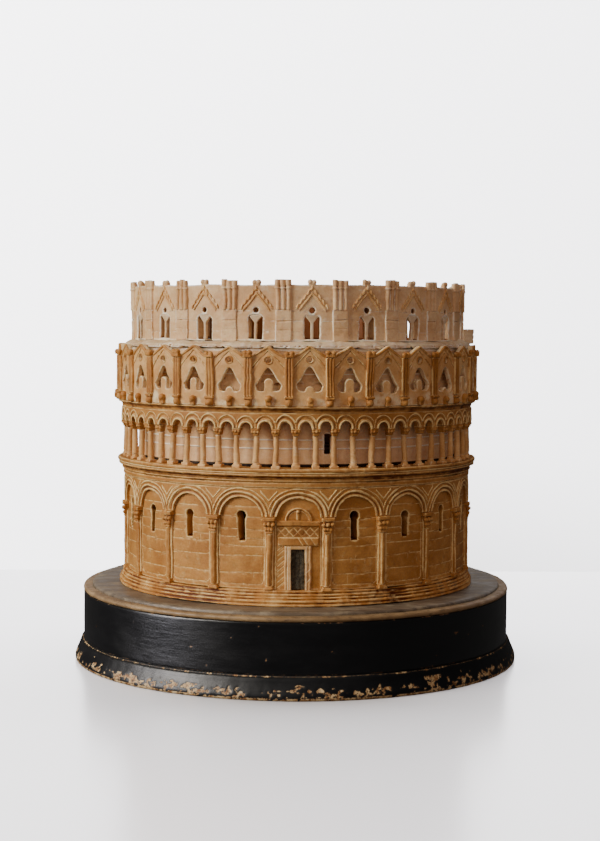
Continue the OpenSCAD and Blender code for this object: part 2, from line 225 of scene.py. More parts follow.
def bay_place(theta, count, turn, radius):
    """Width from the bay's middle and the bay's number, for plain arrays of angles."""
    pitch = TAU / count
    phase = (theta - turn) / pitch
    number = np.round(phase)
    return (phase - number) * pitch * radius, number.astype(int) % count


def between(g, field, low, high, inner=None):
    """Cut a field off level at two heights, and at the radius inner."""
    field = np.maximum(field, np.maximum(low - g.hh, g.hh - high)[:, :, None])
    return field if inner is None else np.maximum(field, inner - g.r)


LOWER_PITCH, GALLERY_PITCH, GABLE_PITCH, UPPER_PITCH = (
    TAU / n for n in (LOWER_BAYS, COLUMNS, GABLES, UPPER_BAYS))
DOOR_STEP = (0.3, 0.3, 0.28)
SPANDRELS = Ring(LOWER_BAYS, LOWER_PITCH / 2)
PILLARS = Ring(LOWER_BAYS, LOWER_PITCH / 2, 0.25, 41)
DOORS = Ring(DOORWAYS)
SLITS = Ring(DOORWAYS, SLIT_TURN)
GALLERY_COLUMNS = Ring(COLUMNS, GALLERY_TURN, 0.4, 81)
GALLERY_ARCHES = Ring(COLUMNS, GALLERY_TURN + GALLERY_PITCH / 2)
GABLE_BAYS = Ring(GABLES, GABLE_TURN)
PINNACLES = Ring(GABLES, GABLE_TURN + GABLE_PITCH / 2, 0.35, 121)
LIGHTS = Ring(UPPER_BAYS, UPPER_TURN, 0.4, 131)
PIERS = Ring(UPPER_BAYS, UPPER_TURN + UPPER_PITCH / 2, 0.3, 151)
BLOCK = Ring(1, BLOCK_TURN)


# ---------------------------------------------------------------- surface net
CORNERS = [(i, j, k) for i in (0, 1) for j in (0, 1) for k in (0, 1)]
EDGES = [(a, b) for a in range(8) for b in range(a + 1, 8)
         if sum(x != y for x, y in zip(CORNERS[a], CORNERS[b])) == 1]


def surface_net(field, wrap):
    """Vertices (in sample units) and quads of the surface where field is 0."""
    if wrap:
        field = np.concatenate([field, field[:1]])
    inside = field < 0
    n = [size - 1 for size in field.shape]
    count = np.zeros(n, np.int8)
    for i, j, k in CORNERS:
        count += inside[i:i + n[0], j:j + n[1], k:k + n[2]]
    cells = np.argwhere((count > 0) & (count < 8))
    values = np.stack([field[cells[:, 0] + i, cells[:, 1] + j, cells[:, 2] + k] for i, j, k in CORNERS])
    total = np.zeros((len(cells), 3))
    hits = np.zeros(len(cells))
    for a, b in EDGES:
        va, vb = values[a], values[b]
        cross = (va < 0) != (vb < 0)
        t = np.where(cross, va / np.where(cross, va - vb, 1), 0)
        start, step = np.array(CORNERS[a]), np.array(CORNERS[b]) - np.array(CORNERS[a])
        total += cross[:, None] * (start + t[:, None] * step)
        hits += cross
    verts = cells + total / hits[:, None]
    ids = np.full(n, -1, np.int64)
    ids[tuple(cells.T)] = np.arange(len(cells))
    quads = []
    for axis in range(3):
        b, c = (axis + 1) % 3, (axis + 2) % 3
        near = [slice(0, size) for size in field.shape]
        far = list(near)
        near[axis], far[axis] = slice(0, n[axis]), slice(1, n[axis] + 1)
        points = np.argwhere(inside[tuple(near)] != inside[tuple(far)])
        keep = np.ones(len(points), bool)
        for other in (b, c):
            if wrap and other == 0:
                keep &= points[:, 0] < n[0]
            else:
                keep &= (points[:, other] >= 1) & (points[:, other] < n[other])
        points = points[keep]
        ring = []
        for back_b, back_c in ((0, 0), (1, 0), (1, 1), (0, 1)):
            cell = points.copy()
            cell[:, b] -= back_b
            cell[:, c] -= back_c
            if wrap:
                cell[:, 0] %= n[0]
            ring.append(ids[tuple(cell.T)])
        ring = np.stack(ring, 1)
        outward = inside[tuple(points.T)]
        ring[~outward] = ring[~outward][:, ::-1]
        quads.append(ring[(ring >= 0).all(1)])
    return verts, np.concatenate(quads)


# ---------------------------------------------------------------- meshes, edge wear and painted hollow shade
def build_mesh(name, points, quads):
    """Smooth mesh in metres from points in mm and quads."""
    mesh = bpy.data.meshes.new(name)
    mesh.vertices.add(len(points))
    mesh.vertices.foreach_set("co", (points * MM).astype(np.float32).ravel())
    mesh.loops.add(quads.size)
    mesh.loops.foreach_set("vertex_index", quads.astype(np.int32).ravel())
    mesh.polygons.add(len(quads))
    mesh.polygons.foreach_set("loop_start", np.arange(len(quads), dtype=np.int32) * 4)
    mesh.update(calc_edges=True)
    mesh.shade_smooth()
    return mesh


def store(mesh, name, values):
    layer = mesh.attributes.new(name, "FLOAT", "POINT")
    layer.data.foreach_set("value", np.asarray(values, np.float32))


def edge_wear_and_hollow_shade(mesh, points, quads, edge_share=1.0):
    """Store how far each point stands proud of its surroundings: fine edges, which the materials paint as pale
    worn edges, and broad relief, whose hollows they darken as painted shade.
    """
    pairs = np.concatenate([quads[:, [0, 1]], quads[:, [1, 2]], quads[:, [2, 3]], quads[:, [3, 0]]])
    a, b = np.concatenate([pairs, pairs[:, ::-1]]).T
    total = len(points)
    degree = np.maximum(np.bincount(a, minlength=total), 1)
    normals = np.empty(total * 3, np.float32)
    mesh.vertex_normals.foreach_get("vector", normals)
    normals = normals.reshape(-1, 3)

    def averaged(values):
        return np.bincount(a, weights=values[b], minlength=total) / degree

    soft = [points[:, axis].astype(np.float64) for axis in range(3)]
    for turn in range(1, 9):
        soft = [0.4 * values + 0.6 * averaged(values) for values in soft]
        if turn == 2:
            fine = sum((points[:, axis] - soft[axis]) * normals[:, axis] for axis in range(3))
    broad = sum((points[:, axis] - soft[axis]) * normals[:, axis] for axis in range(3))
    store(mesh, "fine", fine * edge_share)
    store(mesh, "broad", broad)


def add_piece(name, mesh, body, replaces, material):
    piece = bpy.data.objects.new(name, mesh)
    bpy.context.scene.collection.objects.link(piece)
    mesh.materials.append(material)
    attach(piece, body)
    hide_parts(*replaces)
    return piece


# the drawing radii below are opened by this much outside 98 mm, to the radii of the CAD
SPREAD = {"lower_storey": 1.3, "gallery_ring": 1.25}


def spread(name, points):
    """Move the outer skin of a tier out to its CAD radius, leaving its bore alone."""
    reach = np.hypot(points[:, 0], points[:, 1])
    t = np.clip((reach - 95) / 3, 0, 1)
    more = SPREAD.get(BODY_OF[name], 0.0) * t * t * (3 - 2 * t)
    points[:, :2] *= (1 + more / np.maximum(reach, 1))[:, None]
    return points


def carved(name, grid, field, material, paint=None):
    """One carved CAD node from its distance field. paint(theta, z, r) gives the cut lines, and painted shade
    where it is negative.
    """
    verts, quads = surface_net(np.ascontiguousarray(field, np.float32), grid.wrap)
    theta = grid.theta
    if grid.wrap:
        theta = np.append(theta, theta[0] + TAU)
    angle = np.interp(verts[:, 0], np.arange(len(theta)), theta)
    height = np.interp(verts[:, 1], np.arange(len(grid.heights)), grid.heights)
    radius = np.interp(verts[:, 2], np.arange(len(grid.radii)), grid.radii)
    points = spread(name, np.stack([radius * np.sin(angle), -radius * np.cos(angle), height], 1))
    mesh = build_mesh(name, points, quads)
    edge_wear_and_hollow_shade(mesh, points, quads)
    store(mesh, "cut", np.zeros(len(points)) if paint is None else paint(angle, height, radius))
    return add_piece(name + "_carved", mesh, BODY_OF[name], [name], material)


BODY_OF = {node: body for body, nodes in frame["record"]["behaviour"]["bodies"].items() for node in nodes}


# ---------------------------------------------------------------- materials
class Nodes:
    """A small helper to wire a procedural material."""

    def __init__(self, name):
        self.material = bpy.data.materials.new(name)
        self.material.use_nodes = True
        self.tree = self.material.node_tree
        self.shader = self.tree.nodes["Principled BSDF"]
        self.place = self.add("ShaderNodeTexCoord").outputs["Object"]

    def add(self, kind, **settings):
        node = self.tree.nodes.new(kind)
        for key, value in settings.items():
            setattr(node, key, value)
        return node

    def plug(self, value, socket):
        if isinstance(value, bpy.types.NodeSocket):
            self.tree.links.new(value, socket)
        else:
            socket.default_value = value

    def noise(self, scale, detail=4.0, rough=0.55, stretch=None):
        node = self.add("ShaderNodeTexNoise")
        node.inputs["Scale"].default_value = scale
        node.inputs["Detail"].default_value = detail
        node.inputs["Roughness"].default_value = rough
        place = self.place
        if stretch:
            mapping = self.add("ShaderNodeMapping")
            mapping.inputs["Scale"].default_value = stretch
            self.tree.links.new(place, mapping.inputs["Vector"])
            place = mapping.outputs["Vector"]
        self.tree.links.new(place, node.inputs["Vector"])
        return node.outputs["Fac"]

    def attribute(self, name):
        return self.add("ShaderNodeAttribute", attribute_name=name).outputs["Fac"]

    def math(self, operation, a, b=0.0, clamp=False):
        node = self.add("ShaderNodeMath", operation=operation, use_clamp=clamp)
        self.plug(a, node.inputs[0])
        self.plug(b, node.inputs[1])
        return node.outputs[0]

    def ramp(self, value, low, high, out_low=0.0, out_high=1.0):
        node = self.add("ShaderNodeMapRange", interpolation_type="SMOOTHSTEP")
        self.plug(value, node.inputs["Value"])
        for key, number in (("From Min", low), ("From Max", high),
                            ("To Min", out_low), ("To Max", out_high)):
            node.inputs[key].default_value = number
        return node.outputs["Result"]

    def mix(self, factor, a, b, blend="MIX"):
        node = self.add("ShaderNodeMix", data_type="RGBA", blend_type=blend)
        self.plug(factor, node.inputs["Factor"])
        for value, key in ((a, "A"), (b, "B")):
            socket = [s for s in node.inputs if s.name == key and s.type == "RGBA"][0]
            self.plug(value, socket)
        return [s for s in node.outputs if s.type == "RGBA"][0]

    def bump(self, height, distance, strength=1.0, before=None):
        node = self.add("ShaderNodeBump")
        node.inputs["Strength"].default_value = strength
        node.inputs["Distance"].default_value = distance
        self.tree.links.new(height, node.inputs["Height"])
        if before is not None:
            self.tree.links.new(before, node.inputs["Normal"])
        return node.outputs["Normal"]

    def finish(self, color, rough, normal, **fixed):
        self.plug(color, self.shader.inputs["Base Color"])
        self.plug(rough, self.shader.inputs["Roughness"])
        self.plug(normal, self.shader.inputs["Normal"])
        for key, value in fixed.items():
            self.shader.inputs[key.replace("_", " ")].default_value = value
        return self.material


def rgb(r, g, b):
    """sRGB 0-255 to a linear colour."""
    def linear(value):
        value /= 255
        return value / 12.92 if value <= 0.04045 else ((value + 0.055) / 1.055) ** 2.4
    return (linear(r), linear(g), linear(b), 1.0)


def alabaster(name, body_light, body_dark, hollow_shade_color, edge, cream, hollow_shade_strength):
    """Carved alabaster: warm body, painted shade in the hollows, pale edges and cut lines, dark lining painted
    darker towards its bottom as shade.
    """
    n = Nodes(name)
    clouds = n.ramp(n.noise(55, 5, 0.6), 0.35, 0.65)
    streaks = n.ramp(n.noise(38, 4, 0.6, (1, 1, 4.5)), 0.4, 0.7)
    speck = n.noise(900, 3, 0.6)
    patch = n.noise(210, 4, 0.6)
    color = n.mix(clouds, body_light, body_dark)
    color = n.mix(n.math("MULTIPLY", streaks, 0.45), color, body_dark)
    color = n.mix(n.ramp(patch, 0.55, 0.8, 0, 0.4), color, edge)
    # painted shade in the hollows (concave broad relief), made blotchy by the patch noise
    low = n.math("MULTIPLY", n.attribute("broad"), -1.0)
    painted_shade = n.math("ADD", n.math("MULTIPLY", n.math("SUBTRACT", patch, 0.5), 0.25), low)
    color = n.mix(n.ramp(painted_shade, 0.0, 0.2, 0, 0.92 * hollow_shade_strength), color, hollow_shade_color)
    high = n.math("ADD", n.attribute("fine"), n.math("MULTIPLY", n.math("SUBTRACT", patch, 0.5), 0.10))
    color = n.mix(n.ramp(high, 0.02, 0.085, 0, 0.88 * cream), color, edge)
    cut = n.attribute("cut")
    line = n.math("MULTIPLY", cut, n.ramp(n.noise(330, 3), 0.32, 0.52, 0.5, 1.0))
    color = n.mix(n.ramp(line, 0.15, 0.75, 0, 0.9), color, edge)
    # negative cut values: painted shade, dark, in grooves, coves and at the foot of the inner drum wall
    color = n.mix(n.ramp(n.math("MULTIPLY", cut, -1.0), 0.1, 0.8), color, PAINTED_SHADE_COLOR)
    color = n.mix(n.ramp(speck, 0.3, 0.7, 0.0, 0.22), color, body_dark, "MULTIPLY")
    axis = n.add("ShaderNodeVectorMath", operation="LENGTH")
    flat = n.add("ShaderNodeVectorMath", operation="MULTIPLY")
    n.plug(n.place, flat.inputs[0])
    flat.inputs[1].default_value = (1, 1, 0)
    n.plug(flat.outputs["Vector"], axis.inputs[0])
    split = n.add("ShaderNodeSeparateXYZ")
    n.plug(n.place, split.inputs[0])
    # inner bore faces get the dark lining, darker towards the bottom as painted shade
    lining = n.mix(n.ramp(split.outputs["Z"], 0.10, 0.2), INSIDE_PAINTED_SHADE, INSIDE)
    color = n.mix(n.ramp(axis.outputs["Value"], 0.0905, 0.0913, 1.0, 0.0), color, lining)
    normal = n.bump(n.noise(420, 5, 0.65), 0.0004, 0.6)
    normal = n.bump(n.noise(1500, 3, 0.6), 0.00012, 0.5, normal)
    rough = n.ramp(patch, 0.3, 0.7, 0.5, 0.72)
    return n.finish(color, rough, normal, Subsurface_Weight=0.08, Subsurface_Radius=(1.0, 0.4, 0.12),
                    Subsurface_Scale=0.002, IOR=1.45)


# dark colour of the painted shade in grooves and coves and of the painted shadow at the inner drum's foot
PAINTED_SHADE_COLOR = rgb(34, 20, 10)
INSIDE = rgb(122, 66, 20)
# shaded copy of the lining colour: painted shade low in the inside
INSIDE_PAINTED_SHADE = rgb(60, 32, 12)
# body light, body dark, painted hollow shade, edge, and the strength of the edges and of the painted hollow
# shade
STONES = {
    "honey_alabaster": ((200, 146, 78), (172, 116, 54), (104, 50, 12), (244, 214, 150), 1.0, 1.0),
    "carved_honey_alabaster": ((202, 148, 80), (172, 114, 52), (104, 50, 12), (244, 214, 150), 1.1, 1.1),
    "bright_alabaster": ((232, 190, 130), (204, 154, 94), (100, 50, 16), (248, 230, 188), 1.15, 1.15),
    "pale_alabaster": ((240, 208, 162), (214, 172, 124), (126, 74, 30), (253, 246, 226), 1.1, 1.1),
    "string_course_alabaster": ((252, 244, 226), (244, 228, 200), (190, 160, 120), (255, 252, 242), 1.0, 1.0),
    "chalky_alabaster": ((232, 212, 178), (202, 170, 130), (128, 88, 50), (252, 246, 230), 1.1, 1.2),
}
HONEY, CAPITAL, BRIGHT, PALE, BAND_STONE, CHALKY = (
    alabaster(name, *(rgb(*color) for color in row[:4]), *row[4:]) for name, row in STONES.items())


def ebonised(name, wear_color, band):
    """Black stained and polished wood; where the stain is gone the 'bare' attribute shows the ground."""
    n = Nodes(name)
    grain = n.noise(60, 5, 0.6, (1, 1, 9))
    smear = n.noise(24, 4, 0.6, (1, 1, 3))
    black = n.mix(n.ramp(smear, 0.35, 0.7), rgb(3, 3, 5), rgb(9, 9, 11))
    bare = n.math("MULTIPLY", n.attribute("bare"), n.ramp(n.noise(1100, 4), 0.36, 0.52, 0.3, 1.0))
    ground = n.mix(n.ramp(n.noise(420, 4), 0.35, 0.65), wear_color, rgb(132, 90, 48))
    color = n.mix(n.ramp(bare, 0.25, 0.6), black, ground)
    rough = n.math("ADD", n.ramp(smear, 0.3, 0.7, 0.28 if band else 0.38, 0.36 if band else 0.5),
                   n.math("MULTIPLY", bare, 0.35))
    normal = n.bump(grain, 0.0003, 0.35)
    normal = n.bump(n.noise(900, 4), 0.00012, 0.4, normal)
    return n.finish(color, rough, normal, IOR=1.5, Specular_IOR_Level=0.9 if band else 0.6)


BLACK_BAND = ebonised("ebonised_band", rgb(150, 120, 84), True)
BLACK_FOOT = ebonised("ebonised_foot", rgb(206, 178, 130), False)


def worn_top(name):
    """Flat top of the plinth: dull grey-brown wood with dust and scratches."""
    n = Nodes(name)
    grain = n.noise(30, 6, 0.65, (1, 7, 1))
    dust = n.noise(120, 5, 0.6)
    color = n.mix(n.ramp(grain, 0.3, 0.7), rgb(116, 102, 84), rgb(76, 64, 50))
    color = n.mix(n.ramp(dust, 0.5, 0.72, 0, 0.6), color, rgb(150, 136, 110))
    normal = n.bump(grain, 0.0003, 0.5)
    normal = n.bump(dust, 0.0002, 0.5, normal)
    return n.finish(color, n.ramp(dust, 0.3, 0.7, 0.36, 0.6), normal, IOR=1.5)


def worn_bead(name):
    """Cream and gold paint on the bead, rubbed through to dark wood."""
    n = Nodes(name)
    rub = n.noise(160, 5, 0.65, (1, 1, 2.5))
    color = n.mix(n.ramp(n.noise(60, 4), 0.35, 0.65), rgb(150, 122, 84), rgb(116, 90, 58))
    color = n.mix(n.ramp(rub, 0.5, 0.7, 0, 0.6), color, rgb(66, 50, 36))
    # darker orange-brown in the bead's hollows: painted shade
    color = n.mix(n.ramp(n.math("MULTIPLY", n.attribute("broad"), -1.0), 0.0, 0.12), color, rgb(96, 56, 22))
    color = n.mix(n.ramp(n.attribute("fine"), 0.01, 0.04, 0, 0.7), color, rgb(196, 172, 128))
    normal = n.bump(rub, 0.0003, 0.7)
    return n.finish(color, n.ramp(rub, 0.3, 0.7, 0.38, 0.7), normal, IOR=1.5)


def dark_door(name):
    """Door leaf: dark olive-grey rough panel with faint planks."""
    n = Nodes(name)
    rough_noise = n.noise(700, 5, 0.7)
    color = n.mix(n.ramp(rough_noise, 0.35, 0.65), rgb(46, 40, 28), rgb(92, 84, 66))
    normal = n.bump(rough_noise, 0.0004, 0.9)
    return n.finish(color, n.ramp(rough_noise, 0.3, 0.7, 0.6, 0.85), normal)


TOP_BOARD = worn_top("worn_plinth_top")
BEAD = worn_bead("worn_bead")
DOOR = dark_door("dark_door")


# ---------------------------------------------------------------- turned pieces
def arc(r, a0, a1, steps, cx, cz):
    """Points on an arc, angles in degrees."""
    return [(cx + r * math.cos(math.radians(a0 + (a1 - a0) * i / steps)),
             cz + r * math.sin(math.radians(a0 + (a1 - a0) * i / steps))) for i in range(steps + 1)]


def even_points(outline, step):
    """A closed outline resampled so that no stretch is longer than step."""
    points = []
    for (r0, z0), (r1, z1) in zip(outline, outline[1:] + outline[:1]):
        near_axis = max(r0, r1) < WELL_R + 0.1 or abs(z1 - z0) < 0.01 and min(r0, r1) < WELL_R + 0.1
        pieces = max(1, int(math.hypot(r1 - r0, z1 - z0) / (step * (6 if near_axis else 1))))
        points += [(r0 + (r1 - r0) * i / pieces, z0 + (z1 - z0) * i / pieces) for i in range(pieces)]
    return np.array(points)


def lathe(outline, step, around, wander, extra):
    """Points, quads, bare amounts and (angle, height, radius) of one lathed ring."""
    ring = even_points(outline, step)
    count = int(round(TAU * ring[:, 0].max() / around))
    angle = (np.arange(count) * TAU / count)[:, None] * np.ones(len(ring))
    radius = np.ones(count)[:, None] * ring[:, 0]
    height = np.ones(count)[:, None] * ring[:, 1]
    before, after = np.roll(ring, 1, 0), np.roll(ring, -1, 0)
    along = after - before
    out = np.stack([along[:, 1], -along[:, 0]], 1)
    out /= np.maximum(np.linalg.norm(out, axis=1, keepdims=True), 1e-6)
    turn_sense = np.sum(ring[:, 0] * after[:, 1] - after[:, 0] * ring[:, 1])
    if turn_sense < 0:
        out = -out
    level = height + radius
    skin = np.where(ring[:, 0] > WELL_R + 0.5, wander, 0.0)[None, :]
    push = skin * (0.10 * lattice_noise(angle, level, 6, 15) + 0.05 * lattice_noise(angle, level, 2, 16)
                   + 0.16 * lattice_noise(angle, height * 0.3, 25, 17))
    bare = np.zeros_like(push)
    if extra is not None:
        change, bare = extra(angle, radius, height)
        push = push + change
    radius, height = radius + out[None, :, 0] * push, height + out[None, :, 1] * push
    points = np.stack([radius * np.sin(angle), -radius * np.cos(angle), height], 2).reshape(-1, 3)
    index = np.arange(count * len(ring)).reshape(count, len(ring))
    right, up = np.roll(index, -1, 0), np.roll(index, -1, 1)
    quads = np.stack([index, right, np.roll(right, -1, 1), up], 2).reshape(-1, 4)
    if turn_sense < 0:
        quads = quads[:, ::-1]
    return points, quads, bare.ravel(), np.stack([angle, height, radius], 2).reshape(-1, 3)


def turned(name, outlines, material, step=0.7, around=0.9, wander=1.0, extra=None, paint=None):
    """A lathed CAD node from closed outlines in (radius, height), with a slightly uneven skin.
    extra(theta, r, z) gives an outward change and a 'bare' amount."""
    if not isinstance(outlines[0], list):
        outlines = [outlines]
    parts, total = [], 0
    for outline in outlines:
        points, quads, bare, places = lathe(outline, step, around, wander, extra)
        parts.append((points, quads + total, bare, places))
        total += len(points)
    points, quads, bare, places = (np.concatenate(group) for group in zip(*parts))
    points = spread(name, points)
    mesh = build_mesh(name, points, quads)
    edge_wear_and_hollow_shade(mesh, points, quads, 0.45)
    store(mesh, "bare", bare)
    store(mesh, "cut", np.zeros(len(points)) if paint is None else paint(*places.T))
    if np.hypot(points[:, 0], points[:, 1]).min() < 0.01:
        weld_axis(mesh)
    return add_piece(name + "_turned", mesh, BODY_OF[name], [name], material)


def weld_axis(mesh):
    """Merge the points that meet on the axis."""
    shape = bmesh.new()
    shape.from_mesh(mesh)
    middle = [v for v in shape.verts if math.hypot(v.co.x, v.co.y) < 2e-5]
    bmesh.ops.remove_doubles(shape, verts=middle, dist=5e-5)
    shape.to_mesh(mesh)
    shape.free()


# ---------------------------------------------------------------- plinth
FOOT_H, BAND_TOP = BAND_Z
BAND_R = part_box("plinth_drum")[1][0] / MM
FOOT_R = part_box("plinth_foot_board")[1][0] / MM


def chips(theta, level, low, high, seed):
    """0 to 1 where the black is chipped away, more of it where low passes high."""
    grain = (0.45 * lattice_noise(theta, level, 5, seed) + 0.8 * lattice_noise(theta, level, 2.2, seed + 1)
             + 0.9 * lattice_noise(theta, level, 1.1, seed + 2))
    return np.clip((grain - low) / (high - low), 0, 1)


def plinth_foot_board():
    outline = [(0, 0), (FOOT_R - 1.2, 0), (FOOT_R - 0.35, 0.3),
               (FOOT_R, 1.1), (FOOT_R, 2.2), (FOOT_R - 0.35, 3.6),
               (FOOT_R - 1.0, 5.2), (FOOT_R - 1.8, 6.9), (FOOT_R - 2.6, 8.7), (FOOT_R - 3.1, 10.2),
               (FOOT_R - 3.6, 11.5), (BAND_R + 0.5, 12.2), (BAND_R + 0.3, FOOT_H), (0, FOOT_H)]

    def worn(theta, r, z):
        rim = r > BAND_R - 3
        patch = lattice_noise(theta, z * 0 + 20, 30, 205)
        at_brow = np.clip(1.4 - np.abs(z - 4.2) / 2.4, 0, 1)
        curve = chips(theta, z, 1.6 - 0.3 * patch - 1.7 * at_brow, 2.2 - 1.6 * at_brow, 201)
        curve = curve * (z > 1.4) * (z < 9)
        foot_edge = np.clip((1.9 - z) / 0.8, 0, 1) * chips(theta, z, -1.6, -0.6, 207)
        throat = pulse(z - FOOT_H + 0.5, 1.5) * (0.5 + 0.5 * chips(theta, z, 0.2, 1.2, 211))
        bare = np.maximum(np.maximum(0.75 * curve, foot_edge), 0.8 * throat) * rim
        return -0.22 * np.clip(bare * 1.5, 0, 1) * (z > 0.4) * rim, bare
    return turned("plinth_foot_board", outline, BLACK_FOOT, 0.55, 0.75, 0.6, worn)


def plinth_drum():
    outline = [(0, FOOT_H), (BAND_R - 0.2, FOOT_H), (BAND_R, FOOT_H + 0.3), (BAND_R, BAND_TOP - 0.5),
               (BAND_R - 0.15, BAND_TOP - 0.12), (BAND_R - 0.5, BAND_TOP), (0, BAND_TOP)]

    def worn(theta, r, z):
        rim = r > BAND_R - 3
        line = pulse(z - 12.9, 0.9) * chips(theta, z, -0.9, 0.4, 221)
        top = np.clip((z - BAND_TOP + 0.7) / 0.6, 0, 1) * chips(theta, z, 0.6, 1.6, 223)
        flecks = chips(theta, z, 2.3, 3.0, 225) * 0.6
        bare = np.maximum(np.maximum(0.55 * line, 0.7 * top), flecks) * rim
        return -0.08 * bare * rim, bare
    return turned("plinth_drum", outline, BLACK_BAND, 0.8, 1.0, 0.25, worn)


def plinth_bead():
    bead_r, bore = BAND_R - 1.2, BAND_R - 5
    outline = ([(bore, BAND_TOP), (bead_r, BAND_TOP)] + arc(1.45, -90, 90, 12, bead_r, BAND_TOP + 1.45)[1:-1]
               + [(bead_r, BAND_TOP + 2.9), (bore, BAND_TOP + 2.9)])
    return turned("plinth_bead", outline, BEAD, 0.35, 0.6, 0.35)


def plinth_top_board():
    bore = BAND_R - 5.15
    outline = [(0, BAND_TOP), (bore, BAND_TOP), (bore, PLINTH_TOP - 1.1), (bore - 0.35, PLINTH_TOP - 0.35),
               (bore - 1.1, PLINTH_TOP), (0, PLINTH_TOP)]
    return turned("plinth_top_board", outline, TOP_BOARD, 0.9, 1.1, 0.5)


# ---------------------------------------------------------------- lower storey
COURSES = (98.3, 92.7, 87.5, 82.9, 78.1, 71.1, 63.0)


def masonry(theta, z):
    """Cut joints of the lower wall: level courses and a few short uprights, 0 to 1."""
    wobble = 0.18 * lattice_noise(theta, z * 0 + 50, 7, 21) + 0.05 * lattice_noise(theta, z * 0 + 50, 2, 22)
    s, bay = bay_place(theta, LOWER_BAYS, 0, PANEL_R)
    rng = np.random.default_rng(8)
    shift = rng.uniform(-1.1, 1.1, (LOWER_BAYS, len(COURSES)))
    tilt = rng.uniform(-0.05, 0.05, (LOWER_BAYS, len(COURSES)))
    at_door = bay % (LOWER_BAYS // DOORWAYS) == 0
    lines = np.zeros(np.broadcast(theta, z).shape)
    for k, course in enumerate(COURSES):
        level = course + shift[bay, k] + tilt[bay, k] * s + wobble
        lines = np.maximum(lines, np.where(at_door, 0, 0.85 * pulse(z - level, 1.0)))
    for k in range(5):
        middle = rng.uniform(-10.5, 10.5, LOWER_BAYS)
        top = rng.choice(COURSES[1:], LOWER_BAYS) + rng.uniform(-1, 1, LOWER_BAYS)
        length = rng.uniform(2.5, 6, LOWER_BAYS)
        lean = rng.uniform(-0.15, 0.15, LOWER_BAYS)
        across = s - middle[bay] - lean[bay] * (z - top[bay])
        held = (z < top[bay]) & (z > top[bay] - length[bay]) & ~at_door
        lines = np.maximum(lines, np.where(held, 0.6 * pulse(across, 0.95), 0))
    # slanting strokes beside the door frame
    for k in range(8):
        slant = (z - 55 - 2.9 * k - 0.9 * (s + 11.2)) / 1.35
        held = at_door & (s > -11.4) & (s < -7.2)
        lines = np.maximum(lines, np.where(held, pulse(slant, 1.0), 0))
    lines = np.maximum(lines, np.where(at_door & (z < 92), 0.8 * pulse(np.abs(s) - 12.1, 0.9), 0))
    corner = np.hypot(np.maximum(np.abs(s) - 10.3, 0), np.maximum(58.9 - z, 0)) - 2.3
    border = np.where((z < 92) & ~at_door, pulse(corner, 0.9), 0)
    return np.maximum(lines, border)


def window_reach(g, s, bay):
    """Keyhole windows, a little different in every bay and missing at the doors."""
    middle = g.varied(bay, 0.5, 31)
    head = 2.6 + g.varied(bay, 0.25, 32)
    half = 1.8 + g.varied(bay, 0.2, 33)
    top = 93.6 + g.varied(bay, 0.7, 34)
    foot = 80.6 + g.varied(bay, 0.6, 35)
    hole = smin(np.hypot(s - middle, g.z - top) - head,
                smax(np.abs(s - middle) - half, np.maximum(foot - g.z, g.z - top), 0.3), 0.5)
    door = (bay % (LOWER_BAYS // DOORWAYS) == 0)[:, None, None]
    return np.where(door, 9.0, hole)


def lower_wall():
    g = whole_ring(WALL_Z, (WELL_R, PANEL_R), (0.62, 0.55, 0.5))
    s, bay = g.bays(LOWER_BAYS)
    cut = masonry(g.th, g.hh)[:, :, None]
    face = PANEL_R - 0.30 * cut + 0.8 * g.skin
    field = np.maximum(np.maximum(g.r - face, WELL_R - g.r),
                       np.maximum(WALL_Z[0] - g.heights[None, :, None], g.heights[None, :, None] - WALL_Z[1]))
    door = (bay % (LOWER_BAYS // DOORWAYS) == 0)[:, None, None]
    doorway = np.where(door, np.maximum(np.abs(s) - 3.7, g.z - 75.9), 9.0)
    field = smax(field, -window_reach(g, s, bay), 0.3)
    field = smax(field, -doorway, 0.3)
    return carved("lower_wall", g, field, HONEY,
                  lambda theta, z, r: masonry(theta, z) * (r > PANEL_R - 0.8))


def blind_arcade():
    g = whole_ring((55.8, 109.6), (PANEL_R - 0.4, SPANDREL_R), (0.5, 0.5, 0.4))
    s, _ = g.bays(LOWER_BAYS)
    across = np.hypot(s, g.z - LOWER_SPRING)
    groove = 0.75 * pulse(across - 13.1, 1.7) + 0.45 * pulse(across - 15.4, 1.0)
    face = SPANDREL_R - np.where(g.z > 93, groove, 0) + 0.6 * g.skin
    arch = np.where(g.z > LOWER_SPRING, across - 11.6, np.abs(s) - 11.6)
    spandrel = smax(np.maximum(-arch, 93.6 - g.z), g.r - face, 0.35)
    c, _ = PILLARS.places(g)
    strip = smax(np.abs(c) - 2.5, g.r - (SPANDREL_R - 0.9 + 0.5 * g.skin), 0.3)
    field = np.minimum(spandrel, np.maximum(strip, g.z - 93.8))
    field = between(g, field, 55.8, 109.6, PANEL_R - 0.3)

    def lines(theta, z, r):
        across = bay_place(theta, LOWER_BAYS, 0, PANEL_R)[0]
        ring = np.hypot(across, z - LOWER_SPRING)
        # the negative ring at 13.3 mm paints shade into the arch groove
        arch_lines = (0.75 * pulse(ring - 11.9, 0.9) - 0.35 * pulse(ring - 13.3, 1.3)) * (z > 93.5)
        beside = PILLARS.across(theta, PANEL_R)
        strips = pulse(np.abs(beside) - 2.35, 0.9) * (z < 93) * (r > PANEL_R + 0.4)
        return np.maximum(arch_lines, strips)
    return carved("blind_arcade", g, field, HONEY, lines)


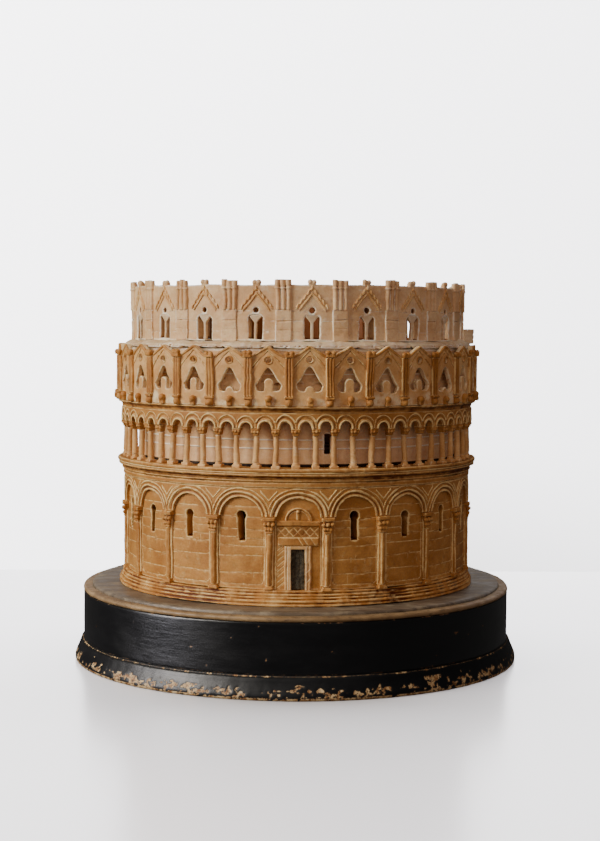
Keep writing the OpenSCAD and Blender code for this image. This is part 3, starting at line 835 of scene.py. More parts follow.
def lower_archivolts():
    g = whole_ring((93.6, 109.5), (SPANDREL_R - 0.3, SPANDREL_R + 0.9), (0.42, 0.42, 0.32))
    s, bay = g.bays(LOWER_BAYS)
    inner = 14.6 + g.varied(bay, 0.25, 51)
    outer = 16.8 + g.varied(bay, 0.2, 52)
    height = g.z - LOWER_SPRING + 0.2
    across = np.hypot(s, height)
    rim = np.hypot(across - inner, g.r - SPANDREL_R) - (0.52 + 1.2 * g.skin)
    fine = np.hypot(across - outer, g.r - SPANDREL_R) - (0.42 + 1.2 * g.skin)
    panel_edge = np.hypot(across - 11.85, g.r - SPANDREL_R + 0.2) - (0.27 + g.skin)
    field = between(g, union(rim, fine, panel_edge, k=0.3), 93.7, 109.55)
    return carved("lower_archivolts", g, field, CAPITAL,
                  lambda theta, z, r: np.clip((r - SPANDREL_R - 0.1) / 0.4, 0, 0.8))


def spandrel_chevrons():
    depth = SPANDREL_R - 0.2, SPANDREL_R + 0.6
    g, s, number = SPANDRELS.patch(5.2, (102.2, 108.4), depth, (0.28, 0.28, 0.25))
    level = g.z - 102.9 - g.varied(number, 0.4, 55)
    arm = (level - np.abs(s) * 1.08) / 1.45
    stroke = np.hypot(arm, (g.r - SPANDREL_R + 0.05) * 1.1) - (0.46 + g.skin)
    field = smax(stroke, np.abs(s) - 4.6, 0.3)
    return carved("spandrel_chevrons", g, field, HONEY, lambda theta, z, r: np.ones_like(theta))


def lower_column_bases():
    g, s, _ = PILLARS.patch(3.1, (STEPS_Z[1], 55.8), (PANEL_R, 102.4), (0.28, 0.25, 0.28))
    foot = solid(box(s, g.z, 2.75, STEPS_Z[1] - 0.2, 54.9), g.r, PANEL_R, 102.3)
    torus = solid(box(s, g.z, 2.3, 54.5, 55.9, 0.6), g.r, PANEL_R, 101.9, 0.6)
    return carved("lower_column_bases", g, union(foot, torus) + g.skin * 0.6, CAPITAL)


def lower_column_shafts():
    g, s, number = PILLARS.patch(1.9, (55.7, 84.7), (COLUMN_R - 0.3, 101.8), (0.26, 0.5, 0.26))
    lean = g.varied(number, 0.35, 61) * ((g.z - 70) / 14)
    shaft = np.hypot(s + lean, g.r - COLUMN_R) - (1.5 + g.varied(number, 0.1, 62))
    field = between(g, shaft + 0.8 * g.skin, 55.7, 84.7)
    field = np.maximum(field, COLUMN_R - 0.1 - g.r)

    def sides(theta, z, r):
        across = PILLARS.across(theta, PANEL_R)
        return np.maximum(pulse(across + 1.0, 0.9), 0.5 * pulse(across - 0.9, 0.7))
    return carved("lower_column_shafts", g, field, CAPITAL, sides)


def lower_column_capitals():
    g, s, number = PILLARS.patch(4.2, (84.4, 93.7), (PANEL_R, 103.2), (0.26, 0.26, 0.26))
    neck = solid(box(s, g.z, 2.1, 84.6, 85.7, 0.5), g.r, PANEL_R, 102.1, 0.5)
    swell = 1.7 + 0.16 * (g.z - 85)
    bell = solid(box(s, g.z, swell, 85, 91.6), g.r, PANEL_R, 101.7)
    leaves = [ball(g, s, side * wide, level + g.varied(number, 0.2, seed + side), reach, size)
              for wide, level, seed, reach, size in (
                  (1.65, 86.9, 64, 101.7, 0.95), (2.35, 89.6, 68, 102.0, 1.15))
              for side in (-1, 0, 1)]
    abacus = solid(box(s, g.z, 3.55 + g.varied(number, 0.15, 71), 91.5, 93.55), g.r, PANEL_R, 102.8)
    field = union(neck, bell, *leaves, k=0.35)
    field = smin(field, abacus, 0.25) + 0.9 * g.skin
    return carved("lower_column_capitals", g, field, CAPITAL)


def portal_frames():
    g, s, _ = DOORS.patch(7.6, (STEPS_Z[1], 77.9), (PANEL_R - 0.3, 100.8), DOOR_STEP)
    ribs = 0.30 * pulse(np.abs(s) - 5.6, 1.2) + 0.25 * pulse(np.abs(s) - 7.0, 0.7)
    face = 0.0 * s + 100.3 - ribs + 1.4 * g.skin
    body = solid(box(s, g.z, 7.1, STEPS_Z[1], 77.8), g.r, PANEL_R - 0.3, face)
    field = smax(body, -box(s, g.z, 3.7, 40, 75.9), 0.3)

    def strokes(theta, z, r):
        across = DOORS.across(theta, PANEL_R)
        edges = np.maximum(0.9 * pulse(np.abs(across) - 4.3, 0.8), 0.8 * pulse(across - 6.9, 0.8))
        edges = np.maximum(edges, 0.9 * pulse(across + 5.6, 0.9))
        for k in range(3):
            cut = (z - 58 - 5.4 * k - 1.1 * (across - 4.4)) / 1.5
            edges = np.maximum(edges, pulse(cut, 1.0) * (across > 4.4) * (across < 6.4) * 0.8)
        return edges
    return carved("portal_frames", g, field, BRIGHT, strokes)


def lintel_strokes(theta, z):
    """Scratched crosses and slanting cuts on the lintel bands."""
    across = DOORS.across(theta, PANEL_R)
    lines = np.zeros_like(across)
    for k in range(5):
        middle = -9.2 + 4.4 * k
        for way in (-1, 1):
            arm = ((z - 85.7) - way * (across - middle) * 1.1) / 1.35
            held = (z > 83.3) & (z < 88.2) & (np.abs(across - middle) < 2.3)
            lines = np.maximum(lines, np.where(held, (0.95 if way < 0 else 0.6) * pulse(arm, 0.9), 0))
    for middle in (1.4, 4.2, 8.0):
        arm = ((z - 80) + (across - middle) * 1.5) / 1.6
        held = (z > 78.3) & (z < 82.3)
        lines = np.maximum(lines, np.where(held, pulse(arm, 0.9), 0))
    return np.maximum(lines, np.maximum(pulse(z - 82.6, 0.9), 0.9 * pulse(z - 78.2, 0.8)))


def portal_lintels():
    g, s, _ = DOORS.patch(12.2, (77.9, 91.8), (PANEL_R - 0.3, 101.6), DOOR_STEP)
    cut = 0.35 * lintel_strokes(g.th, g.hh)[:, :, None]
    low = solid(box(s, g.z, 10.9, 78.0, 82.4), g.r, PANEL_R - 0.3, 100.6 - cut + g.skin)
    frieze = solid(box(s, g.z, 11.3, 82.3, 88.8), g.r, PANEL_R - 0.3, 100.2 - cut + g.skin)
    shelf = solid(box(s, g.z, 11.7, 88.8, 91.7), g.r, PANEL_R - 0.3, 101.1 + g.skin, 0.7)
    field = union(low, frieze, shelf, k=0.25)

    def shaded(theta, z, r):
        # painted shade: a dark band on the frieze under the shelf and one across the shelf
        painted_shade = 0.35 * np.clip((z - 83.0) / 0.5, 0, 1) * np.clip((88.5 - z) / 0.5, 0, 1)
        painted_shade += 0.3 * pulse(z - 90.6, 1.8)
        strokes = lintel_strokes(theta, z) * (r > PANEL_R + 0.4)
        return np.where(strokes > 0.15, strokes, -painted_shade)
    return carved("portal_lintels", g, field, CAPITAL, shaded)


def portal_lunettes():
    g, s, _ = DOORS.patch(7.9, (91.7, 99.6), (PANEL_R - 0.3, 101.2), DOOR_STEP)
    across = np.hypot(s, g.z - 91.7)
    rim = np.hypot(across - 6.6, (g.r - 99.6) * 0.8) - 0.75
    post = solid(box(s, g.z, 0.95, 91.6, 97.6, 0.6), g.r, PANEL_R - 0.3, 100.3, 0.6)
    head = ball(g, s, 0, 96.4, 100.1, 0.95)
    bulge = solid(across - 5.8, g.r, PANEL_R - 0.3, 99.75 + g.skin)
    field = np.maximum(union(rim, post, head, bulge, k=0.35), 91.75 - g.z) + 0.5 * g.skin

    def arcs(theta, z, r):
        side = DOORS.across(theta, PANEL_R)
        ring = np.hypot(side, z - 91.7)
        white = np.maximum(0.9 * pulse(ring - 6.9, 0.9), 0.7 * pulse(ring - 5.4, 0.8))
        return np.maximum(white, 0.8 * pulse(side + 0.7, 0.9) * (z < 97.4))
    return carved("portal_lunettes", g, field, CAPITAL, arcs)


def door_leaves():
    g, s, _ = DOORS.patch(3.9, (STEPS_Z[1], 76), (96.7, 98.3), (0.35, 0.35, 0.35))
    plank = 0.35 * pulse(np.abs(s) - 1.2, 0.7)
    field = solid(box(s, g.z, 3.8, STEPS_Z[1], 76), g.r, 96.7, 98.2 - plank + 2.0 * g.skin)
    return carved("door_leaves", g, field, DOOR)


def lower_steps():
    z0, z1 = STEPS_Z
    outline = ([(WELL_R, z0), (103.2, z0)]
               + arc(0.85, -70, 75, 6, 103.2, z0 + 0.9) + arc(1.05, -70, 75, 7, 102.8, z0 + 2.8)
               + arc(0.75, -75, 75, 6, 102.0, z0 + 4.6) + arc(0.85, -75, 80, 6, 101.4, z0 + 6.1)
               + arc(0.7, -70, 90, 6, 100.7, z1 - 0.75) + [(WELL_R, z1)])

    def lines(theta, z, r):
        chalk = 0.35 * np.clip(lattice_noise(theta, z, 6, 181) + 0.2, 0, 1)
        edges = [share * pulse(z - z0 - level, 0.8)
                 * np.clip(0.7 + 0.5 * lattice_noise(theta, z * 0 + level, 5, 182), 0, 1)
                 for share, level in ((0.8, 0.9), (1.0, 3.2), (0.8, 4.9), (0.8, 6.6), (0.7, z1 - z0 - 0.2))]
        return np.maximum(np.maximum.reduce(edges), chalk) * (r > 99.8)
    return turned("lower_steps", outline, CAPITAL, 0.33, 0.7, 1.8, paint=lines)


def lower_frieze():
    z0, z1 = cad_span("lower_frieze")
    outline = [(PANEL_R + 0.1, z0), (101.5, z0), (101.75, z0 + 0.5),
               (101.75, z1 - 0.5), (101.5, z1), (PANEL_R + 0.1, z1)]
    return turned("lower_frieze", outline, HONEY, 0.4, 0.7, 1.3,
                  paint=lambda theta, z, r: np.maximum(
                      0.7 * pulse(z - z0 - 0.5, 0.9), 0.5 * pulse(z - z1 + 0.5, 0.9)))


def lower_cornice():
    z0, z1 = cad_span("lower_cornice")
    outline = ([(WELL_R, z0), (101.5, z0), (101.9, z0 + 0.3)] + arc(0.55, -90, 90, 5, 102.1, z0 + 1.05)
               + [(102.0, z0 + 1.9)] + arc(1.5, 190, 110, 5, 103.8, z0 + 1.9)
               + arc(0.8, -80, 60, 5, 103.9, z0 + 4.1) + [(104.6, z0 + 4.9), (105.1, z1), (WELL_R, z1)])
    # the dark band in the cove, at z0 + 2.4, is painted shade
    return turned("lower_cornice", outline, HONEY, 0.45, 0.7, 1.4,
                  paint=lambda theta, z, r: (0.7 * pulse(z - z0 - 1.0, 0.9) + 0.7 * pulse(z - z0 - 4.3, 0.9)
                                             - 0.4 * pulse(z - z0 - 2.4, 1.0)) * (r > 101.7))


# ---------------------------------------------------------------- gallery
def gallery_sill():
    z0, z1 = SILL_Z
    outline = [(WELL_R, z0)] + arc(1.05, -90, 90, 8, 104.3, z0 + 0.98) + [(WELL_R, z1)]
    return turned("gallery_sill", outline, HONEY, 0.4, 0.7, 1.3,
                  paint=lambda theta, z, r: 0.7 * pulse(z - z1 + 0.2, 1.0) * (r > 103.5))


def gallery_column_bases():
    g, s, number = GALLERY_COLUMNS.patch(3.0, (GALLERY_Z, 123.3), (97.8, 102.6), (0.3, 0.3, 0.3))
    tall = 1.5 + g.varied(number, 0.3, 82)
    outline = box(s, g.z, 2.25 + g.varied(number, 0.2, 83), GALLERY_Z - 0.3, GALLERY_Z + tall)
    plinth = solid(outline, g.r, 98.0, 102.4)
    torus = np.hypot(np.maximum(np.hypot(s, g.r - COLUMN_R) - 1.25, 0), g.z - GALLERY_Z - tall - 0.5) - 0.65
    field = union(plinth, torus, np.hypot(s, g.r - COLUMN_R) - 1.55, k=0.5)
    field = between(g, field, GALLERY_Z - 0.1, 123.05)
    return carved("gallery_column_bases", g, field + 0.5 * g.skin, BRIGHT)


def gallery_column_shafts():
    g, s, number = GALLERY_COLUMNS.patch(2.3, (123, 137.5), (98.4, 102), (0.3, 0.55, 0.3))
    middle = (g.z - 130.2) / 7.2
    lean = g.varied(number, 0.3, 84) * middle
    thick = 1.58 + g.varied(number, 0.14, 85) - 0.10 * middle + 0.5 * g.skin
    field = np.hypot(s + lean, g.r - COLUMN_R + 0.15 * middle) - thick
    field = between(g, field, 122.95, 137.55)
    return carved("gallery_column_shafts", g, field, BRIGHT)


def gallery_column_capitals():
    g, s, number = GALLERY_COLUMNS.patch(2.9, (137.3, 141.6), (98, 104.2), (0.27, 0.27, 0.27))
    neck = np.hypot(np.maximum(np.hypot(s, g.r - COLUMN_R) - 1.2, 0), g.z - 138.1) - 0.6
    bell = solid(box(s, g.z, 1.45 + 0.24 * (g.z - 137.5), 137.4, 141), g.r, 98.5, 102.3 + 0.2 * (g.z - 138))
    leaves = [ball(g, s, side * 1.6, 139.9 + g.varied(number, 0.2, 88 + side), 102.6 - 0.4 * abs(side), 0.9)
              for side in (-1, 0, 1)]
    abacus = solid(box(s, g.z, 2.45, 140.9, 141.65), g.r, 98.3, 103.2)
    field = union(neck, bell, *leaves, k=0.3)
    field = between(g, smin(field, abacus, 0.3) + 0.8 * g.skin, 137.4, 141.55)
    return carved("gallery_column_capitals", g, field, CAPITAL)


def gallery_arcade():
    g = whole_ring(ARCADE_Z, (98.3, ARCADE_R), (0.42, 0.42, 0.5))
    s, number = GALLERY_ARCHES.places(g)
    half = 2.95 + g.varied(number, 0.2, 91)
    arch = np.where(g.z > GALLERY_SPRING, np.hypot(s, g.z - GALLERY_SPRING) - half, np.abs(s) - half)
    groove = 0.45 * pulse(np.hypot(s, g.z - GALLERY_SPRING - 0.8) - 4.6, 1.0)
    face = ARCADE_R - groove + 0.5 * g.skin
    field = smax(between(g, g.r - face, *ARCADE_Z, 98.3), -arch, 0.3)
    return carved("gallery_arcade", g, field, HONEY)


def gallery_archivolts():
    g, s, number = GALLERY_ARCHES.patch(5.3, (141.6, 149.8), (ARCADE_R - 0.3, ARCADE_R + 0.9),
                                      (0.3, 0.3, 0.28))
    inner = np.hypot(s, g.z - GALLERY_SPRING) - (3.7 + g.varied(number, 0.2, 92))
    outer = np.hypot(s, g.z - GALLERY_SPRING - 1.4) - (5.3 + g.varied(number, 0.2, 93))
    low = np.hypot(inner, g.r - ARCADE_R) - (0.62 + 0.9 * g.skin)
    high = np.hypot(outer, g.r - ARCADE_R) - (0.42 + 0.9 * g.skin)
    high = np.maximum(high, 144.6 - g.z)
    field = np.maximum(union(low, high, k=0.25), np.abs(s) - 5.35)
    field = between(g, field, 141.5, 149.95)
    return carved("gallery_archivolts", g, field, CAPITAL,
                  lambda theta, z, r: np.clip((r - ARCADE_R - 0.1) / 0.35, 0, 0.75))


def gallery_cornice():
    z0, z1 = cad_span("gallery_cornice")
    outline = ([(DRUM_R + 0.3, z0), (102.7, z0)] + arc(2.3, 180, 110, 6, 105.1, z0 + 0.2)
               + [(104.8, z1 - 1.1), (105.0, z1 - 0.7), (104.9, z1 - 0.2), (104.6, z1), (DRUM_R + 0.3, z1)])
    return turned("gallery_cornice", outline, HONEY, 0.4, 0.7, 1.4,
                  paint=lambda theta, z, r: np.maximum(
                      0.8 * pulse(z - z1 + 0.4, 0.9), 0.5 * pulse(z - z0 - 0.1, 0.7)) * (r > 102))


# ---------------------------------------------------------------- gable tier
APEX, VALLEY, GABLE_FOOT = GABLE_Z[1], 179.6, GABLE_Z[0]
GABLE_HALF = GABLE_R * math.sin(GABLE_PITCH / 2)


BELL = ((162.0, 6.0), (163.8, 6.5), (164.8, 6.85), (167.0, 5.0),
        (169.6, 3.5), (171.9, 2.35), (173.2, 1.6), (174.2, 0.7))


def trefoil_hole(g, s, number):
    """Bell-shaped opening with pointed lobes and a round-headed post standing in its foot."""
    z = g.z + g.varied(number, 0.4, 102)
    levels, widths = zip(*BELL)
    half = np.interp(z, levels, widths).astype(np.float32) + g.varied(number, 0.25, 103)
    bell = smax((np.abs(s) - half) * 0.8, z - 174.2, 0.6)
    foot = 161.4 - z + 0.05 * (np.abs(s) - 3.6) ** 2 * np.where(np.abs(s) > 3.6, 3.2, 1.0)
    hole = smax(bell, foot * 0.8, 0.4)
    tall = 168.3 + g.varied(number, 0.5, 104)
    head = 2.1 + np.abs(g.varied(number, 0.45, 105))
    broken = np.where(g.varied(number, 1.0, 106) > 0.72, 4.5, 0.0)
    tall = tall - broken
    post = union(np.hypot(s, z - tall + head) - head,
                 smax(np.abs(s) - head + 0.1, z - tall + head, 0.2), k=0.4)
    return smax(hole, -post, 0.4)


def gable_wall():
    g = whole_ring(GABLE_Z, (GABLE_R - 3, GABLE_R), (0.42, 0.42, 0.5))
    s, number = GABLE_BAYS.places(g)
    lift = g.varied(number, 0.35, 101)
    edge = (g.z - APEX - 0.1 + lift * 0.5 + (APEX - VALLEY) / (GABLE_HALF - 1.2) * np.abs(s)) / 1.25
    edge = np.minimum(edge, np.maximum(g.z - VALLEY, 0) + (np.abs(s) < GABLE_HALF - 1.4) * 9)
    hole = trefoil_hole(g, s, number)
    eye = disc(s, g.z, 178.4 + 0.5 * lift, 1.45)
    groove = 0.25 * pulse(slope_line(s, g.z, 8.0, VALLEY - 5.2, APEX - 2.6), 1.2)
    groove = groove + 0.15 * pulse(slope_line(s, g.z, 8.0, VALLEY - 8.5, APEX - 2.9), 0.9)
    face = GABLE_R - groove + 0.8 * g.skin
    field = between(g, g.r - face, *GABLE_Z, GABLE_R - 3)
    field = smax(smax(field, edge, 0.4), -hole, 0.4)
    field = smax(field, -eye, 0.35)
    def chalk(theta, z, r):
        foot = np.clip((163.5 - z) / 6, 0, 1) * (0.35 + 0.3 * lattice_noise(theta, z, 5, 107))
        return np.where(r < GABLE_R - 0.6, 0.6, foot)
    return carved("gable_wall", g, field, BRIGHT, chalk)


def gable_mouldings():
    g, s, number = GABLE_BAYS.patch(9.2, (171, APEX), (GABLE_R - 0.3, GABLE_R + 0.9), (0.34, 0.34, 0.28))
    lift = 0.5 * g.varied(number, 0.35, 101)
    outer = slope_line(s, g.z + lift, GABLE_HALF - 1.6, VALLEY - 0.2, APEX - 0.6)
    inner = slope_line(s, g.z + lift, 8.0, VALLEY - 4.4, APEX - 2.3)
    rim = np.hypot(outer, (g.r - GABLE_R) * 1.2) - (0.72 + g.skin)
    bead = np.hypot(inner, g.r - GABLE_R + 0.1) - (0.38 + g.skin)
    field = smax(union(rim, bead, k=0.3), np.abs(s) - 8.3, 0.3)
    field = np.maximum(field, g.hh[:, :, None] - APEX)
    return carved("gable_mouldings", g, field, CAPITAL)


def gable_eye_rings():
    g, s, number = GABLE_BAYS.patch(2.8, (175.6, 181.2), (GABLE_R - 0.3, GABLE_R + 0.7), (0.26, 0.26, 0.24))
    lift = 0.5 * g.varied(number, 0.35, 101)
    ring = np.abs(np.hypot(s, g.z - 178.4 - lift) - 1.95)
    field = np.hypot(ring, g.r - GABLE_R) - (0.42 + g.skin)
    return carved("gable_eye_rings", g, field, CAPITAL)


def gable_knobs():
    depth = GABLE_R - 0.3, GABLE_R + 3
    g, s, number = GABLE_BAYS.patch(2.5, (GABLE_FOOT, 159.2), depth, (0.27, 0.27, 0.27))
    s = s + g.varied(number, 0.7, 111)
    stub = solid(box(s, g.z, 1.5, GABLE_FOOT, 156.8), g.r, GABLE_R - 0.3, GABLE_R + 1.9)
    head = ball(g, s, 0, 157.2 + g.varied(number, 0.35, 112), GABLE_R + 1.1,
                1.95 + g.varied(number, 0.15, 113))
    field = np.maximum(smin(stub, head, 0.35) + 1.2 * g.skin,
                       np.maximum(GABLE_R - 0.2 - g.r, GABLE_FOOT - g.z))
    return carved("gable_knobs", g, field, CAPITAL)


def pinnacle_feet():
    g, s, _ = PINNACLES.patch(3.2, (GABLE_FOOT, 158.8), (GABLE_R - 0.2, 107.6), (0.27, 0.27, 0.27))
    knob = ball(g, s, 0, 155.3, GABLE_R + 1.0, 2.0)
    stem = solid(box(s, g.z, 1.85, GABLE_FOOT, 158), g.r, GABLE_R - 0.2, GABLE_R + 1.7)
    band = solid(box(s, g.z, 2.45, 157.5, 158.75), g.r, GABLE_R - 0.2, GABLE_R + 2.5)
    field = union(knob, stem, band, k=0.35) + g.skin
    field = between(g, field, GABLE_FOOT, 158.8, GABLE_R - 0.1)
    return carved("pinnacle_feet", g, field, CAPITAL)


def pinnacle_shafts():
    g, s, number = PINNACLES.patch(2.9, (158.7, 179.7), (GABLE_R - 0.2, 107), (0.28, 0.45, 0.28))
    lean = g.varied(number, 0.3, 122) * (g.z - 169) / 10
    ribs = [np.hypot(s + lean - side * 1.6, g.r - GABLE_R - 0.75) - (0.85 + 0.3 * g.skin)
            for side in (-1, 0, 1)]
    flat = solid(np.abs(s + lean) - 2.3, g.r, GABLE_R - 0.2, GABLE_R + 1.0)
    field = smin(union(*ribs, k=0.3), flat, 0.3) + 0.5 * g.skin
    field = between(g, field, 158.7, 179.65, GABLE_R - 0.1)

    def edges(theta, z, r):
        across = PINNACLES.across(theta, GABLE_R)
        edges = np.maximum(0.9 * pulse(across + 2.3, 0.9), 0.5 * pulse(across - 2.3, 0.8))
        # the dark lines between the ribs are painted shade in their grooves
        return edges - 0.45 * pulse(np.abs(across) - 0.8, 0.8)
    return carved("pinnacle_shafts", g, field, CAPITAL, edges)


def pinnacle_heads():
    g, s, number = PINNACLES.patch(3.5, (179.6, 184), (GABLE_R - 0.2, 108), (0.27, 0.27, 0.27))
    tip = 183.3 + g.varied(number, 0.5, 125)
    lower = solid(box(s, g.z, 2.4, 179.6, 181), g.r, GABLE_R - 0.2, GABLE_R + 2.6, 0.5)
    knobs = [ball(g, s, side * 1.35, tip - 1.6, GABLE_R + 1.4, 1.5) for side in (-1, 1)]
    field = union(lower, *knobs, k=0.4) + 1.3 * g.skin
    field = between(g, field, 179.6, 184, GABLE_R - 0.1)
    return carved("pinnacle_heads", g, field, CAPITAL)


# ---------------------------------------------------------------- upper drum
def inner_drum_wall():
    z0, z1 = cad_span("inner_drum_wall")
    g = whole_ring((z0, z1), (WELL_R, DRUM_R), (0.9, 0.6, 0.5), 0.8)
    s, _ = SLITS.places(g)
    slit = np.maximum(np.abs(s) - 1.8, np.maximum(127.3 - g.z, g.z - 138))
    wall = between(g, g.r - DRUM_R - 0.8 * g.skin, z0, z1, WELL_R)

    # painted shadow: dark band at the foot of the wall, between the gallery bases
    def painted_foot_shadow(theta, z, r):
        return -np.clip((122.1 - z + 0.12 * lattice_noise(theta, z, 9, 171)) / 0.7, 0, 1)
    return carved("inner_drum_wall", g, smax(wall, -slit, 0.3), PALE, painted_foot_shadow)


def inner_drum_bands():
    """Two thin string courses, broken at the slits."""
    points, quads = [], []
    stops = np.linspace(1.9 / DRUM_R, TAU / DOORWAYS - 1.9 / DRUM_R, 190)
    for z0, z1 in ((129.6, 130.6), (134.4, 135.4)):
        ring = np.array([(93.8, z0), (94.35, z0 + 0.15), (94.42, z0 + 0.5),
                     (94.35, z1 - 0.15), (93.8, z1), (93.7, z0 + 0.5)])
        for quarter in range(DOORWAYS):
            angle = (SLIT_TURN + quarter * TAU / DOORWAYS + stops)[:, None]
            first = 6 * len(stops) * len(points)
            points.append(np.stack([ring[:, 0] * np.sin(angle), -ring[:, 0] * np.cos(angle),
                                    ring[:, 1] + 0 * angle], 2).reshape(-1, 3))
            index = first + np.arange(6 * len(stops)).reshape(-1, 6)
            up = np.roll(index, -1, 1)
            quads.append(np.stack([index[:-1], index[1:], up[1:], up[:-1]], 2).reshape(-1, 4))
            quads.append(np.array([index[0][[0, 1, 2, 5]], index[0][[5, 2, 3, 4]],
                                   index[-1][[5, 2, 1, 0]], index[-1][[4, 3, 2, 5]]]))
    points, quads = np.concatenate(points), np.concatenate(quads)
    mesh = build_mesh("inner_drum_bands", points, quads)
    for name in ("fine", "broad", "cut"):
        store(mesh, name, np.zeros(len(points)))
    return add_piece("inner_drum_bands_turned", mesh, BODY_OF["inner_drum_bands"], ["inner_drum_bands"],
                     BAND_STONE)


def drum_backing():
    z0, z1 = cad_span("drum_backing")
    outline = [(WELL_R, z0), (99.4, z0), (99.6, z0 + 1), (99.6, z1 - 1), (99.4, z1), (WELL_R, z1)]
    return turned("drum_backing", outline, PALE, 0.8, 0.9, 1.2,
                  paint=lambda theta, z, r: 0.8 * pulse(z - 170.8, 1.0) * (r > 97))


def terrace_ledge():
    z0, z1 = LEDGE_Z
    outline = [(WELL_R, z0), (101.9, z0), (102.3, z0 + 0.5),
               (102.3, z1 - 2.3), (101.7, z1 - 1.5), (99.8, z1 - 0.5),
               (98.2, z1), (WELL_R, z1)]

    def ragged(theta, r, z):
        bite = chips(theta, z, 0.5, 1.6, 185) * (z < z0 + 1.8) * (r > 99.5)
        return -0.9 * bite, np.zeros_like(bite)

    return turned("terrace_ledge", outline, CHALKY, 0.5, 0.7, 2.6, ragged)


def terrace_block():
    g, s, _ = BLOCK.patch(4.2, (186.9, 195.6), (101.3, 107.5), (0.28, 0.28, 0.28))
    body = solid(box(s, g.z, 3.5, 186.9, 195.4, 0.6), g.r, 101.4, 107.2, 0.6)
    notches = np.minimum(np.hypot(g.z - 189.6, g.r - 107.5) - 0.7, np.hypot(g.z - 192.4, g.r - 107.5) - 0.7)
    return carved("terrace_block", g, smax(body + 1.2 * g.skin, -notches, 0.3), CHALKY)


LIGHT_FOOT, LIGHT_TOP, EYE_Z = 189.3, 202.5, 205.15
SEAT_R, SEAT_DEPTH = 92.5, 5


def upper_wall():
    g = whole_ring(UPPER_Z, (WELL_R, UPPER_R), (0.55, 0.5, 0.55))
    s, number = LIGHTS.places(g)
    half = 4.4 + g.varied(number, 0.3, 132)
    point = (g.z - 202.4 + 1.0 * (np.abs(s) - 3.0)) / 1.4
    light = smax(box(s, g.z, half, LIGHT_FOOT, LIGHT_TOP), point, 0.5)
    eye = disc(s, g.z, EYE_Z, 1.5 + g.varied(number, 0.15, 133))
    face = UPPER_R + 0.7 * g.skin - 0.25 * upper_courses(g.th, g.hh)[:, :, None]
    bore = np.where(g.hh > UPPER_Z[1] - SEAT_DEPTH, SEAT_R, WELL_R)[:, :, None]
    level = np.maximum(UPPER_Z[0] - g.hh, g.z[:, :, 0] - UPPER_Z[1])[:, :, None]
    wall = np.maximum(np.maximum(bore - g.r, g.r - face), level)
    field = smax(smax(wall, -light, 0.3), -eye, 0.3)
    return carved("upper_wall", g, field, PALE,
                  lambda theta, z, r: 0.8 * upper_courses(theta, z) * (r > UPPER_R - 0.8))


def upper_courses(theta, z):
    """Faint level cuts beside the windows."""
    wobble = 0.3 * lattice_noise(theta, z * 0 + 90, 8, 141)
    lines = np.zeros(np.broadcast(theta, z).shape)
    for level in (193.5, 199.4, 204.6, 216.5):
        broken = np.clip(lattice_noise(theta, z * 0 + level, 6, int(level)) + 0.4, 0, 1)
        lines = np.maximum(lines, broken * pulse(z - level - wobble, 0.9))
    return lines


def upper_window_tracery():
    depth = UPPER_R - 2.7, UPPER_R - 0.2
    g, s, _ = LIGHTS.patch(4.4, (LIGHT_FOOT, LIGHT_TOP), depth, (0.27, 0.3, 0.3))
    post = smax(np.abs(s) - 0.8, g.z - 200, 0.3)
    arms = np.abs((g.z - 198.6) - 1.25 * np.abs(s)) / 1.6 - 0.75
    arms = np.maximum(arms, 197.8 - g.z)
    fill = np.maximum(1.25 * np.abs(s) - (g.z - 199.4), 198 - g.z) / 1.6
    held = np.maximum(UPPER_R - 2.6 - g.r, g.r - UPPER_R + 0.3)
    field = smax(union(post, arms, fill, k=0.3), held, 0.3) + 0.6 * g.skin
    field = between(g, field, LIGHT_FOOT, 202.6)
    field = np.maximum(field, np.abs(s) - 4.5)
    return carved("upper_window_tracery", g, field, CHALKY)


def upper_gable_mouldings():
    g, s, _ = LIGHTS.patch(10.8, (203.5, 218.6), (UPPER_R - 0.3, UPPER_R + 1.1), (0.32, 0.32, 0.28))
    inner = slope_line(s, g.z, 7.2, 205.4, 214.2)
    outer = slope_line(s, g.z, 8.7, 206.4, 217.3)
    low = np.hypot(inner, g.r - UPPER_R) - (0.72 + 0.8 * g.skin)
    crockets = 0.22 * np.cos(np.abs(s) * TAU / 2.0)
    high = np.hypot(outer, g.r - UPPER_R - 0.1) - (0.70 + crockets + g.skin)
    low = smax(low, np.abs(s) - 7.3, 0.3)
    high = smax(high, np.abs(s) - 8.9, 0.3)
    return carved("upper_gable_mouldings", g, union(low, high, k=0.3), BRIGHT)


def pier_blocks():
    g, s, _ = PIERS.patch(5.1, (UPPER_Z[0], 205.4), (UPPER_R - 0.3, 99.3), (0.35, 0.35, 0.3))
    groove = 0.5 * pulse(g.z - 199.6, 0.9) + 0.2 * pulse(g.z - 194.8, 0.7)
    field = solid(box(s, g.z, 4.35, UPPER_Z[0], 205.4), g.r, UPPER_R - 0.3, 98.95 - groove + 1.2 * g.skin)
    def arris(theta, z, r):
        across = PIERS.across(theta, UPPER_R)
        return np.maximum(pulse(across + 4.4, 1.0), 0.6 * pulse(z - 200.3, 0.7))
    return carved("pier_blocks", g, field, PALE, arris)


